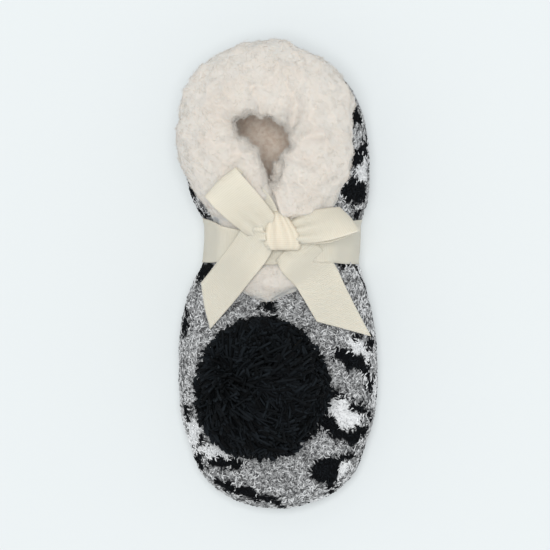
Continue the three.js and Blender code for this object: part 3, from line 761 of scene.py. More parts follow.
KNIT = fibre_material("knit_yarn", 0.95, (1800, 0.25, 0.0003, 3, 0))
KNIT_GROUND = knit_ground_material()
LINING = fibre_material(
    "lining_fleece", 1.0, (420, 0.8, 0.0016, 5, 0), LINING_TONES, (0.15, 0.8), 0.35
)
FLEECE = fibre_material("cuff_fleece", 1.0, FLEECE_BUMP, sheen=(0.2, 0.8), inner_light=0.8)
PILE = fibre_material("fleece_pile", 1.0, FLEECE_BUMP, sheen=(0.2, 0.8))
POMPOM = fibre_material("pompom_yarn", 0.9, (1500, 0.6, 0.0004, 4, 0))
RIBBON = ribbon_material()
SOLE_CLOTH = fibre_material("sole_cloth", 0.95, (700, 0.5, 0.0005, 4, 0), SOLE_TONES, (0.1, 0.5))
GRIP = fibre_material("grip_dots", 0.45, (2500, 0.15, 0.0002, 3, 0), GRIP_TONES)


# Knitted upper

KNIT_PLACES = 180
KNIT_RISES = np.concatenate([np.linspace(-90, 0, 13)[:-1], np.linspace(0, 90, 34)])
STITCH = 3.2  # pitch of the knit's rows
STITCH_DEPTH = 0.35
KNIT_SINK = 0.8  # the ground of the knit lies under its fuzz
HEEL_SINK = 1.6  # and is drawn in more behind the heel, under the fleece's hem
HEEL_SINK_FROM = 92.0
HEEL_SINK_RUN = 24.0

# Creases of the knit: side, then where each runs from and to as shares of the length and
# rises on the form, its half width and its height, which is below zero in a trough.
CREASES = [
    (1, 0.520, 40, 0.440, 33, 3.0, -1.2),
    (1, 0.500, 20, 0.430, 12, 3.5, 0.9),
    (1, 0.520, 3, 0.450, -8, 3.0, -1.1),
    (1, 0.628, 28, 0.700, 20, 3.0, -1.2),
    (1, 0.628, 6, 0.720, 2, 3.4, -1.0),
    (1, 0.640, 17, 0.710, 10, 3.0, 0.7),
    (1, 0.900, 6, 0.965, 30, 4.0, -1.3),
    (1, 0.220, 8, 0.330, 20, 5.5, -0.9),
    (1, 0.455, 90, 0.470, 47, 4.0, -1.4),
    (1, 0.060, 42, 0.110, 24, 4.5, -0.8),
    (-1, 0.520, 46, 0.450, 50, 3.0, -1.1),
    (-1, 0.500, 28, 0.430, 24, 3.5, 1.0),
    (-1, 0.520, 8, 0.440, 0, 3.0, -1.2),
    (-1, 0.628, 34, 0.710, 38, 3.0, -1.1),
    (-1, 0.628, 12, 0.700, 2, 3.4, -1.1),
    (-1, 0.645, 22, 0.715, 18, 3.0, 0.7),
    (-1, 0.915, 12, 0.975, 26, 4.0, -1.2),
    (-1, 0.170, 16, 0.300, 8, 5.5, -0.9),
    (-1, 0.455, 90, 0.460, 50, 4.0, -1.3),
    (-1, 0.045, 55, 0.090, 34, 4.5, -0.8),
]


def crease_height(points):
    """How far the knit's creases lift points on the form, or let them sink."""
    height = np.zeros(points.shape[:-1])
    for side, *ends, width, depth in CREASES:
        start, end = form_point(place_at(ends[0::2], 2000), ends[1::2]) * [side, 1, 1]
        height += depth * line_nearness(points, start, end, width)
    return height


def knit_surface():
    """The upper's outer surface as a grid: the form's levels, each a loop up the right side and
    down the left, with small bumps for the stitches. The part inside the collar is dropped, and
    the points next to the edge are drawn out on to it."""
    places = np.linspace(0, LAST, KNIT_PLACES + 1)
    right = form_point(places[None], KNIT_RISES[:, None], -KNIT_SINK)
    left = right[:, -2:0:-1] * [-1, 1, 1]
    points = np.concatenate([right, left], 1)
    x, y, z = np.moveaxis(points, -1, 0)
    bump = np.sin(2 * np.pi * y / STITCH) * np.cos(2 * np.pi * (np.abs(x) + z) / (1.4 * STITCH))
    points[..., 2] += STITCH_DEPTH * bump * (KNIT_RISES[:, None] > 5)
    lift = crease_height(points) - HEEL_SINK * smooth((y - HEEL_SINK_FROM) / HEEL_SINK_RUN)
    lift[[0, -1]] = 0
    points += lift[..., None] * -grid_normals(points, False, True)
    bearing, reach = from_hole(x, y)
    edge = hole_at(bearing) + CUFF_LIP
    inside = (reach < edge) & (KNIT_RISES[:, None] > 0)
    columns = points.shape[1]
    quads = grid_quads(len(KNIT_RISES), columns, wrap_columns=True)
    quads = quads[~inside.reshape(-1)[quads].all(1)]
    edge_x, edge_y = plan_point(bearing[inside], edge[inside])
    points[inside] = np.stack([edge_x, edge_y, form_top(edge_x, edge_y) - KNIT_SINK], -1)
    used, quads = np.unique(quads, return_inverse=True)
    return points.reshape(-1, 3)[used], quads.reshape(-1, 4)


def knit_upper(points, quads):
    rng = np.random.default_rng(3)
    ink = leopard(points, rng)
    colours = tinted(GROUND_SHADES[ink], ink)
    piece = build_mesh("knit_upper", points, quads, colours=colours)
    marl = piece.data.attributes.new("Marl", "FLOAT", "POINT")
    marl.data.foreach_set("value", (ink == GREY).astype(np.float32))
    weld(piece)
    finish_piece(piece, "knit", KNIT_GROUND, "upper")
    piece.data.materials.append(LINING)
    wall = thicken(piece, UPPER_WALL - KNIT_SINK, -1)
    wall.material_offset = 1
    wall.material_offset_rim = 1
    return piece


FIBRE_LENGTH = (2.0, 3.8)
FIBRE_RADIUS = (0.32, 0.52)
FIBRE_LIFT = (0.12, 0.7)
FIBRE_HOOK = 1.3
FIBRE_TAPER = np.array([0.9, 1.0, 0.5])
FLOOR_CLEAR = 1.0
SPARE_ROOTS = 2.4  # roots tried for each fibre, because many fall on covered knit

# How far the flap, the band and the pompom hide the knit.
FLAP_COVER = 0.9
BAND_MARGIN = 1.6
BALL_COVER = 0.55
TOP_SIDE = 3.0


def is_bare_knit(points):
    """Whether points on the knit show: not under the flap, the ribbon or the pompom."""
    x, y, z = points.T
    bearing, reach = from_hole(x, y)
    near = hole_at(bearing)
    share = (reach - near) / (flap_at(bearing) - near)
    under_flap = (z > form_top(x, y) - TOP_SIDE) & (share < FLAP_COVER)
    under_band = np.abs(y - BAND_Y) < RIBBON_WIDTH / 2 + BAND_MARGIN
    ball_x, ball_y = POMPOM_LEAN, lengthwise(POMPOM_ALONG)
    spread = np.hypot((x - ball_x) / POMPOM_WIDTH, (y - ball_y) / POMPOM_LENGTH) * 2
    return ~(under_flap | under_band | (spread < BALL_COVER))


def fibre_lines(root, normal, rng, lengths, lift):
    """Three points along each fibre: it leaves the surface at a slant and hooks over sideways."""
    count = len(root)
    first, second = tangents(normal, rng.uniform(0, 2 * np.pi, count))
    length = rng.uniform(*lengths, count)[:, None]
    rise = rng.uniform(*lift, count)[:, None]
    hook = rng.uniform(-FIBRE_HOOK, FIBRE_HOOK, count)[:, None]
    line = [
        root + length * (np.sin(1.5 * t) / 1.5 * first + (t - 0.8 * t * t) * rise * normal
                         + 0.6 * t * t * hook * second)
        for t in (0.0, 0.5, 1.0)
    ]
    return np.stack(line, 1)


def knit_fibres(name, points, quads, count, keep, seed):
    """Fuzz of the knit: short hooked fibres, coloured where each is rooted."""
    rng = np.random.default_rng(seed)
    root, normal = scatter(points, quads, int(count * SPARE_ROOTS), rng)
    shows = keep(root) & is_bare_knit(root)
    root, normal = root[shows][:count], normal[shows][:count]
    ink = leopard(root, rng)
    lines = fibre_lines(root, normal, rng, FIBRE_LENGTH, FIBRE_LIFT)
    lines[..., 2] = np.maximum(lines[..., 2], FLOOR_CLEAR)
    radii = rng.uniform(*FIBRE_RADIUS, len(root))[:, None] * FIBRE_TAPER
    piece = strand_mesh(name, lines, radii, ink_colours(ink, root, rng))
    return finish_piece(piece, "knit", KNIT)


# Fleece cuff

TUFT_SPACING = 6.5
TUFT_DEPTH = 0.9
TUFT_TOTAL = 710
CURL_SIZES = ((8.0, 1.1), (4.2, 0.55), (2.2, 0.2))  # smaller curls: size and depth
FLEECE_SINK = 1.2  # the ground of the fleece lies under its pile
# The tan gap colour is painted shade in the low gaps between the tufts; the tip colour is the
# fleece's own ivory.
GAP_SHADE_COLOUR = np.array([0.62, 0.572, 0.515])
TIP_COLOUR = np.array([0.665, 0.628, 0.575])
# Painted shade: down in the foot hole the fleece is tinted warmer and darker the deeper it lies.
DEEP_SHADE_TINT = np.array([1.0, 0.92, 0.83])  # down in the foot hole
FULL_GAP_SHADE_LEVEL = -2.6  # where the fleece is fully the gaps' colour
TIP_LEVEL = 0.6
DEEP_SHADE_FROM = 2.0
DEEP_SHADE_RUN = 8.0
PRESS_FADE = 3.0  # how far past what lies on it the fleece rises again
TAIL_PRESS = 0.45  # how much of the ribbon's width a tail presses, to each side
FOLD_WANDER = 1.4
FOLD_WANDER_SIZE = 5.0

# The fleece's edge round the foot hole in plan, every 20 degrees from the toe side towards the
# left: it hangs in over the hole at the back and along the left of its slit.
HOLE_EDGE = np.array([
    (2.2, 40.5), (-1.8, 51.5), (-4.8, 59.0), (-7.6, 64.5), (-11.6, 68.4), (-18.0, 71.5),
    (-18.8, 77.5), (-13.5, 82.5), (-7.0, 82.8), (-1.5, 81.8), (4.0, 79.0), (8.5, 78.0),
    (12.8, 76.5), (12.4, 71.5), (11.4, 66.5), (9.4, 61.0), (7.4, 55.5), (5.6, 49.5),
])

# Folds of the turned-out fleece: ends in plan, half width and depth.
FLEECE_FOLDS = [
    ((12.0, 75.0), (14.0, 86.0), 2.8, 3.6),
    ((14.0, 86.0), (10.5, 97.0), 3.0, 1.7),
    ((18.5, 103.0), (16.0, 96.0), 2.2, 1.0),
    ((4.5, 107.0), (4.5, 96.0), 2.4, 0.9),
    ((-19.5, 74.0), (-28.0, 83.0), 3.0, 2.2),
    ((2.3, 44.0), (5.6, 30.0), 2.0, 3.0),
    ((24.0, 47.0), (33.0, 52.0), 2.6, 1.4),
    ((-30.0, 62.0), (-38.0, 72.0), 2.8, 1.4),
    ((-4.0, 82.0), (-6.0, 96.0), 2.6, 1.9),
    ((-13.5, 82.0), (-21.0, 94.0), 3.2, 1.6),
    ((13.5, 69.0), (27.0, 72.0), 3.2, 1.7),
    ((9.5, 60.0), (22.0, 57.0), 3.0, 1.3),
    ((-7.5, 64.5), (-20.0, 59.0), 3.2, 1.4),
    ((24.0, 84.0), (31.0, 92.0), 3.0, 1.2),
    ((-29.0, 88.0), (-22.0, 101.0), 3.2, 1.1),
]
# Where the fleece stands out past the hem, or is drawn in: bearing and spread in degrees, and
# how far.
HEM_BULGES = [(-46.0, 20.0, 3.0), (-4.0, 24.0, -1.6), (72.0, 14.0, -2.4)]


def hole_edge(bearing):
    """The closed cubic curve through HOLE_EDGE, at bearings in radians."""
    count = len(HOLE_EDGE)
    place = (np.degrees(bearing) + 180) * count / 360
    row = np.floor(place).astype(int)
    rows = (HOLE_EDGE[(row + step - 1) % count] for step in range(4))
    edge = cubic(*rows, (place - row)[..., None])
    edge[..., 0] -= waist_shift(edge[..., 1])
    return edge


def tuft_height(points, seeds, spacing):
    """Rounded tufts: how high each point is on the dome round its nearest seed. The points are
    taken in lots, to spare memory."""
    lots = []
    for part in np.array_split(points, max(1, len(points) // 4000)):
        gap = (part**2).sum(1)[:, None] + (seeds**2).sum(1)[None] - 2 * part @ seeds.T
        lots.append(np.clip(gap.min(1), 0, None))
    return np.clip(1 - np.concatenate(lots) / spacing**2, -0.6, 1)


CUFF_BEARINGS = 400
CROWN_STEPS = 66
UNDER_STEPS = 8
LIP_STEPS = 9


def cuff_grid():
    """The cuff as a closed ring of sections. Each goes over the crown from the hole to the flap's
    edge, back under it along the knit, down the lip inside the knit and up the foot hole."""
    bearing = np.linspace(0, 2 * np.pi, CUFF_BEARINGS, endpoint=False)
    near, far = hole_at(bearing), flap_at(bearing)
    lip = near + CUFF_LIP - 2 * SEAT
    rim = hole_edge(bearing)
    hem = np.stack(plan_point(bearing, far), -1)
    share = (1 - np.cos(np.pi * np.linspace(0, 1, CROWN_STEPS))) / 2
    x, y = np.moveaxis(rim[:, None] + (hem - rim)[:, None] * share[:, None], -1, 0)
    thick = np.clip(cuff_thickness(share[None], x, y) - FLEECE_SINK, SEAT, None)
    crown = np.stack([x, y, form_top(x, y)], -1) + form_normal(x, y) * thick[..., None]
    away = np.stack([np.sin(bearing), np.cos(bearing), 0 * bearing], -1)
    for middle, spread, stand in HEM_BULGES:
        turn = (np.degrees(bearing) - middle + 180) % 360 - 180
        bulge = stand * np.exp(-((turn / spread) ** 2))[:, None] * smooth(share / 0.8)
        crown += bulge[..., None] * away[:, None]

    def sunk(plan, depths):
        x, y = np.moveaxis(plan, -1, 0)
        return np.stack([x, y, form_top(x, y) + depths], -1)

    def between(start, end, shares):
        return start[:, None] + (end - start)[:, None] * shares[:, None]

    lip_edge = np.stack(plan_point(bearing, lip), -1)
    hole = np.stack(plan_point(bearing, near), -1)
    down = np.linspace(0, 1, LIP_STEPS)
    under = sunk(between(hem, lip_edge, np.linspace(0, 1, UNDER_STEPS)[1:]), SEAT)
    outer = sunk(between(lip_edge, lip_edge, down[1:]), SEAT - CUFF_DROP * down[1:])
    bottom = sunk(between(lip_edge, hole, down[1:]),
                  SEAT - CUFF_DROP - 1.5 * np.sin(np.pi * down[1:]))
    inner = sunk(between(hole, rim, smooth(down[1:-1])), SEAT - CUFF_DROP * (1 - down[1:-1]))
    return np.concatenate([crown, under, outer, bottom, inner], 1)


def grid_normals(points, wrap_rows, wrap_columns):
    """Normals of a grid of points from its two directions, not yet turned outward."""
    def slope(axis, wraps):
        if wraps:
            return np.roll(points, -1, axis) - np.roll(points, 1, axis)
        return np.gradient(points, axis=axis)

    return unit(np.cross(slope(0, wrap_rows), slope(1, wrap_columns)))


def unpressed(x, y):
    """How free the fleece is: 1 where nothing lies on it, 0 under the band and the tails."""
    band = smooth((np.abs(y - BAND_Y) - RIBBON_WIDTH / 2) / PRESS_FADE)
    free = band * np.ones(np.shape(x))
    for tail in (LEFT_TAIL, RIGHT_TAIL):
        rows = cubic_rows(np.array(tail)[:, :2], 12)
        for tail_x, tail_y in KNOT[:2] + rows * TAIL_LENGTH:
            gap = np.hypot(x - tail_x, y - tail_y)
            free = np.minimum(free, smooth((gap - TAIL_PRESS * RIBBON_WIDTH) / PRESS_FADE))
    return free


def fleece_height(points, seeds):
    """How high the fleece stands at each point, from its tufts, smaller curls and folds."""
    height = TUFT_DEPTH * (tuft_height(points, seeds, 0.75 * TUFT_SPACING) - 0.5)
    for number, (size, depth) in enumerate(CURL_SIZES):
        height += depth * cloud(points, size, 40 + number)
    return height


def fold_depth(x, y):
    """How deep the folds are at points in plan. Their lines wander a little."""
    place = np.stack([x, y, 0 * x], -1)
    wander = np.stack([cloud(place, FOLD_WANDER_SIZE, seed) for seed in (62, 63)], -1)
    plan = place[..., :2] + FOLD_WANDER * wander
    return sum(depth * line_nearness(plan, start, end, width)
               for start, end, width, depth in FLEECE_FOLDS)


def fleece_colours_with_gap_shade(height):
    """The fleece's own ivory, with a painted tan shade where the pile is low, in the gaps between
    its tufts.
    """
    share = smooth((height - FULL_GAP_SHADE_LEVEL) / (TIP_LEVEL - FULL_GAP_SHADE_LEVEL))[:, None]
    return GAP_SHADE_COLOUR + (TIP_COLOUR - GAP_SHADE_COLOUR) * share


def fleece_cuff():
    """The cuff with tufts, curls and folds on the crown and inside the hole."""
    rng = np.random.default_rng(5)
    points = cuff_grid()
    normal = -grid_normals(points, True, True)
    rows, columns, _ = points.shape
    quads = grid_quads(rows, columns, wrap_rows=True, wrap_columns=True)
    flat = points.reshape(-1, 3)
    seeds, _ = scatter(flat, quads, TUFT_TOTAL, rng)
    free = np.ones(columns)
    free[CROWN_STEPS:CROWN_STEPS + UNDER_STEPS + LIP_STEPS - 2] = 0
    x, y = points[..., 0], points[..., 1]
    height = fleece_height(flat, seeds).reshape(rows, columns) - fold_depth(x, y)
    height *= free[None] * unpressed(x, y)
    points = points + normal * height[..., None]
    # Painted shade: tan where the pile is low, and warmer and darker down in the foot hole.
    colours = fleece_colours_with_gap_shade(height.reshape(-1)).reshape(points.shape)
    depth = smooth((form_top(x, y) - DEEP_SHADE_FROM - points[..., 2]) / DEEP_SHADE_RUN)[..., None]
    colours = (colours * (1 + (DEEP_SHADE_TINT - 1) * depth)).reshape(-1, 3)
    piece = build_mesh("fleece_cuff", points.reshape(-1, 3), quads, colours=colours)
    weld(piece)
    finish_piece(piece, "fleece", FLEECE, "cuff")
    crown = points[:, :CROWN_STEPS]
    hole = np.concatenate([points[:, -LIP_STEPS:], crown[:, :1]], 1)
    return crown, hole


PILE_LENGTH = (1.6, 3.4)
PILE_RADIUS = (0.08, 0.15)
PILE_TAPER = np.array([1.0, 0.9, 0.4])
PILE_RISE = (0.2, 0.7)
PILE_HOOK = 0.8
PILE_DRIFT = 1.3 * np.pi  # how far the pile turns from straight away from the hole
PILE_PATCH = 9.0  # over about this distance
PILE_STRAY = 0.7
RIM_WIDTH = 4.0  # how near the hole the pile lies down into it


def fleece_pile(name, surfaces, count, keep, seed):
    """The pile: fine strands that leave the surface and lie over, away from the foot hole on the
    crown and down into it at its edge, with a turn that drifts slowly over the fleece."""
    rng = np.random.default_rng(seed)
    roots, normals = [], []
    for grid, share in surfaces:
        quads = grid_quads(*grid.shape[:2], wrap_rows=True)
        root, normal = scatter(grid.reshape(-1, 3), quads, int(3 * count * share), rng)
        roots.append(root)
        normals.append(-normal)
    root, normal = np.concatenate(roots), np.concatenate(normals)
    order = rng.permutation(len(root))
    root, normal = root[order], normal[order]
    free = unpressed(root[:, 0], root[:, 1])
    shows = keep(root) & (free > 0.15)
    root, normal, free = (values[shows][:count] for values in (root, normal, free))
    bearing, reach = from_hole(root[:, 0], root[:, 1])
    away = np.stack([np.sin(bearing), np.cos(bearing), 0 * bearing], -1)
    outward = np.where(reach > hole_at(bearing) + RIM_WIDTH, 1.0, -1.0)[:, None]
    drift = PILE_DRIFT * cloud(root, PILE_PATCH, 51) + rng.normal(0, PILE_STRAY, len(root))
    drift = drift[:, None]
    across = np.cross(normal, away)
    lay = unit(np.cos(drift) * outward * away + np.sin(drift) * across)
    lay = unit(lay - (lay * normal).sum(1, keepdims=True) * normal)
    side = np.cross(normal, lay)
    length = rng.uniform(*PILE_LENGTH, len(root))[:, None, None]
    rise = rng.uniform(*PILE_RISE, len(root))[:, None, None]
    hook = rng.uniform(-PILE_HOOK, PILE_HOOK, len(root))[:, None, None]
    t = np.array([0.0, 0.5, 1.0])[None, :, None]
    lines = root[:, None] - 0.2 * normal[:, None] + length * (
        0.8 * t * lay[:, None] + rise * (t - 0.6 * t * t) * normal[:, None]
        + hook * t * t * side[:, None]
    )
    radius = rng.uniform(*PILE_RADIUS, len(root)) * (0.4 + 0.6 * free)
    radii = radius[:, None] * PILE_TAPER
    shade = rng.uniform(0.96, 1.03, (len(root), 1))
    piece = strand_mesh(name, lines, radii, TIP_COLOUR * shade)
    piece.visible_shadow = False  # fibres this fine let the light past
    return finish_piece(piece, "fleece", PILE)


# Footbed and sole

def level_ring(height_at, inset, places=120):
    """A loop in plan round the outline moved in by inset, at the heights of a function of y."""
    place = np.linspace(0, LAST, places + 1)
    x, y = outline(place, -inset)
    right = np.stack([x, y, height_at(y)], -1)
    return np.concatenate([right, right[-2:0:-1] * [-1, 1, 1]])


def slab(rings):
    """A closed slab from a stack of rings, lowest first, with rungs from side to side across the
    first and the last."""
    count = len(rings[0])
    half = count // 2
    points = np.concatenate(rings)
    quads = grid_quads(len(rings), count, wrap_columns=True)
    i = np.arange(half)
    left, next_left = (count - i) % count, count - i - 1
    roof = (len(rings) - 1) * count
    floor = np.stack([i, left, next_left, i + 1], 1)
    ceiling = roof + np.stack([i, i + 1, next_left, left], 1)
    return points, np.concatenate([quads, floor, ceiling])


def sole():
    """The cloth sole: its bottom is raised off the floor by the height of the grip dots."""
    rim = TUCK - SOLE_SHOW
    steps = [(2.2, GRIP_HEIGHT), (0.7, GRIP_HEIGHT + 0.4), (0.1, GRIP_HEIGHT + 1.2),
             (0, 2.6), (0.3, 3.8), (1.2, SOLE_THICKNESS)]
    rings = [
        level_ring(lambda y, h=height: sole_lift(y) + h, rim + inset) for inset, height in steps
    ]
    points, quads = slab(rings)
    piece = build_mesh("cloth_sole", points, quads)
    weld(piece)
    return finish_piece(piece, "sole_fabric", SOLE_CLOTH, "outsole")


GRIP_HEIGHT = 0.5
GRIP_PITCH = 7.5
GRIP_RADIUS = 1.6
GRIP_REACH = 0.84  # how far out the dots go, as a share of the way to the outline
GRIP_MARGIN = TUCK + 4


def grip_dots():
    """Rows of small round dots under the sole: a flat face on the floor and a sloping side."""
    pitch_y = GRIP_PITCH * np.sqrt(3) / 2
    rows, columns = int(UPPER_LENGTH / pitch_y), int(BALL_WIDTH / GRIP_PITCH) + 2
    row, column = np.meshgrid(np.arange(rows), np.arange(columns), indexing="ij")
    x = ((column - (columns - 1) / 2) + 0.5 * (row % 2) - 0.25).ravel() * GRIP_PITCH
    y = ((row - (rows - 1) / 2) * pitch_y).ravel()
    place, out = form_share(x, y)
    inside = (out < GRIP_REACH) & (np.abs(x) < outline(place, -GRIP_MARGIN)[0])
    x, y = x[inside], y[inside]
    sides = 10
    turn = 2 * np.pi * np.arange(sides) / sides
    profile = [(0.0, 0.0), (GRIP_RADIUS * 0.75, 0.0), (GRIP_RADIUS, 0.35), (GRIP_RADIUS, 1.0)]
    rings = [
        np.stack([
            x[:, None] + r * np.cos(turn), y[:, None] + r * np.sin(turn),
            sole_lift(y)[:, None] + h + 0 * turn,
        ], -1)
        for r, h in profile
    ]
    points = np.stack(rings, 1)
    block = len(profile) * sides
    quads = copied(grid_quads(len(profile), sides, wrap_columns=True), len(x), block)
    top = np.arange(sides - 2)
    cap = (len(profile) - 1) * sides + np.stack([0 * top, top + 1, top + 2], 1)
    caps = copied(cap, len(x), block)
    piece = build_mesh("grip_dots", points.reshape(-1, 3), quads, caps)
    weld(piece, 0.001)
    return finish_piece(piece, "sole_fabric", GRIP)


def footbed():
    """The fleece footbed inside, crowned and dimpled, resting on the sole."""
    under = SOLE_THICKNESS + SEAT
    inset = TUCK + UPPER_WALL + SEAT
    rings = [level_ring(lambda y: sole_lift(y) + under, inset)]
    rings.append(level_ring(lambda y: sole_lift(y) + under + 2, inset - 1.2))
    count = len(rings[0])
    edge = level_ring(lambda y: sole_lift(y) + under + FOOTBED_THICKNESS - 0.6, inset)
    spine = edge * [0, 1, 1]
    shares = np.linspace(0, 1, 36)
    top = np.stack([edge + (spine - edge) * share for share in shares])
    crowned = FOOTBED_THICKNESS * 0.15 * smooth(shares / 0.4)[:, None]
    top[..., 2] += crowned + 0.7 * cloud(top, 4.5, 61) * smooth(shares / 0.1)[:, None]
    top[-1, :, 2] = top[-1, (count - np.arange(count)) % count, 2]
    points, quads = slab([*rings, *top])
    quads = quads[:-(count // 2)]
    piece = build_mesh("fleece_footbed", points, quads)
    weld(piece)
    finish_piece(piece, "fleece", LINING, "insole")
    return piece


# Pompom

STRAND_COUNT = 5450
STRAND_RADIUS = (0.55, 0.88)
STRAND_LEAN = 50.0
STRAND_SWING = 1.6  # how far a strand waves from side to side
STRAND_WAVES = 15.0  # radians from the middle of the ball to its surface
STRAND_STRAY = 0.15
STRAND_REACH = (0.87, 1.01)
STRAND_COLOUR = np.array([0.0036, 0.0048, 0.006])
STRAND_TONE = (0.55, 1.7)
STRAND_STEPS = np.array([0.52, 0.66, 0.78, 0.88, 0.95, 1.0])
STRAND_SWELL = np.array([0.7, 0.85, 0.95, 1.05, 1.2, 1.25])
BALL_REACH = np.array([POMPOM_WIDTH, 0.95 * POMPOM_LENGTH, POMPOM_HEIGHT]) / 2
VAMP_CLEAR = 1.2
# Partings of the yarn: a direction from the ball's middle, how strongly the strands lean away from
# it, or towards it where that is below zero, and how widely.
PARTINGS = [
    ((-0.80, 0.18, 0.57), 0.85, 0.36),
    ((-0.30, -0.28, 0.91), 0.45, 0.16),
    ((-0.30, 0.50, 0.79), 0.4, 0.14),
    ((0.30, 0.62, 0.70), 0.5, 0.12),
    ((0.62, -0.35, 0.62), -0.45, 0.14),
    ((0.05, -0.72, 0.62), 0.4, 0.12),
    ((0.85, 0.35, 0.25), 0.4, 0.14),
]
LOCK_SIZE = 0.24  # locks that lean together, as a share of the ball's half width
LOCK_LEAN = 0.8


def strand_lean(out):
    """Which way, and how much, strands in those directions lean: away from the partings, and with
    the others in their lock."""
    lean = np.zeros(out.shape)
    for parting, strength, spread in PARTINGS:
        parting = unit(np.array(parting))
        cos = (out @ parting)[:, None]
        away = unit(out * cos - parting) * np.minimum(1, 2.4 * (1 - cos) / spread)
        lean += strength * np.exp(-((1 - cos) / spread) ** 2) * away
    lock = np.stack([cloud(out + 5, LOCK_SIZE, 70 + axis) for axis in range(3)], -1)
    lean += LOCK_LEAN * lock
    return lean - (lean * out).sum(1, keepdims=True) * out


def pompom():
    """Cut yarn. Strands leave the middle of the ball in all directions, evenly spread, and bend
    over on their way out to the ball's surface."""
    rng = np.random.default_rng(11)
    ball_x, ball_y = POMPOM_LEAN, lengthwise(POMPOM_ALONG)
    vamp = float(form_top(np.array([ball_x]), np.array([ball_y]))[0])
    middle = np.array([ball_x, ball_y, vamp + POMPOM_HEIGHT / 2 - POMPOM_SINK])
    index = np.arange(STRAND_COUNT)
    height = 1 - 2 * (index + 0.5) / STRAND_COUNT
    golden = np.pi * (3 - np.sqrt(5)) * index
    round_ = np.sqrt(1 - height**2)
    out = np.stack([round_ * np.cos(golden), round_ * np.sin(golden), height], 1)
    out = unit(out + rng.normal(0, 0.05, out.shape))
    lean = strand_lean(out) * rng.uniform(0.7, 1.25, (len(out), 1))
    lean += STRAND_STRAY * rng.normal(0, 1, out.shape)
    angle = np.radians(STRAND_LEAN) * np.linalg.norm(lean, axis=1, keepdims=True)
    away = unit(lean)
    side = np.cross(out, away)
    full = rng.uniform(*STRAND_REACH, (len(out), 1))
    full *= (1 + 0.05 * cloud(out + 5, 0.5, 80))[:, None]
    t = STRAND_STEPS
    turned = [unit(out * np.cos(angle * s * s) + away * np.sin(angle * s * s))
              for s in (t - t[0]) / (1 - t[0])]
    lines = np.stack([d * full * s * BALL_REACH for d, s in zip(turned, t)], 1) + middle
    wave = rng.uniform(0, 2 * np.pi, (len(out), 1)) + STRAND_WAVES * t[None]
    swing = STRAND_SWING * np.minimum(1, 5 * (t - t[0])) * rng.uniform(0.3, 1, (len(out), 1))
    lines += (swing * np.sin(wave))[..., None] * unit(side)[:, None]
    lines += (0.8 * swing * np.cos(1.3 * wave))[..., None] * away[:, None]
    low = form_top(lines[..., 0], lines[..., 1]) + VAMP_CLEAR
    lines[..., 2] = np.maximum(lines[..., 2], low)
    radii = rng.uniform(*STRAND_RADIUS, len(out))[:, None] * STRAND_SWELL
    shade = STRAND_COLOUR * rng.uniform(*STRAND_TONE, (len(out), 1)) ** 1.8
    piece = strand_mesh("pompom_yarn", lines, radii, shade)
    return finish_piece(piece, "yarn", POMPOM, "pompom")


# Ribbon

def cubic_rows(rows, samples):
    """Values at even samples along rows of numbers, on the cubic curve through the rows."""
    rows = np.asarray(rows, float)
    rows = np.concatenate([[2 * rows[0] - rows[1]], rows, [2 * rows[-1] - rows[-2]]])
    place = np.linspace(0, len(rows) - 3, samples)
    i = np.minimum(place.astype(int), len(rows) - 4)
    return cubic(*(rows[i + step] for step in range(4)), (place - i)[:, None])


def run_along(line):
    """How far along a line each of its points is."""
    steps = np.linalg.norm(np.diff(line, axis=0), axis=1)
    return np.concatenate([[0], np.cumsum(steps)])


PLEATS = 3
PLEAT_DEPTH = 2.6
RIBBON_CUP = 0.35  # how far an open ribbon's edges dip


def ribbon_strip(name, centre, across, width, slant=0.0, samples=90, lanes=25):
    """A strip of ribbon through rows of its centre line, with the direction across it and its
    share of the full width. Where it is drawn in, it rises and falls in pleats. Towards its end
    the points slide along it in step with how far across they are, which slants the cut."""
    rows = np.concatenate([centre, unit(across), np.asarray(width)[:, None]], 1)
    rows = cubic_rows(rows, samples)
    centre, across, width = rows[:, :3], unit(rows[:, 3:6]), rows[:, 6]
    along = unit(np.gradient(centre, axis=0))
    normal = unit(np.cross(along, across))
    lane = np.linspace(-1, 1, lanes)
    half = RIBBON_WIDTH / 2 * width
    points = centre[:, None] + (half[:, None] * lane)[..., None] * across[:, None]
    drawn = PLEAT_DEPTH * np.clip(1 - width, 0, 1)[:, None]
    fold = drawn * np.cos(np.pi * PLEATS * lane) + RIBBON_CUP * np.cos(np.pi * lane)
    slide = slant * lane[None] * np.linspace(0, 1, samples)[:, None] ** 2
    points += fold[..., None] * normal[:, None] + slide[..., None] * along[:, None]
    run = run_along(centre)
    uvs = np.stack(np.broadcast_arrays(lane * RIBBON_WIDTH / 2, run[:, None] + slide), -1)
    quads = grid_quads(samples, lanes)
    piece = build_mesh(name, points.reshape(-1, 3), quads, uvs=uvs.reshape(-1, 2))
    thicken(piece, RIBBON_THICKNESS)
    return piece, run[-1]


def declare_ribbon(piece, node):
    finish_piece(piece, "ribbon", RIBBON, node)


BAND_PULL = 1.4  # how far the band's edges press into the wider knit beside the waist
BAND_RIPPLE = 0.5


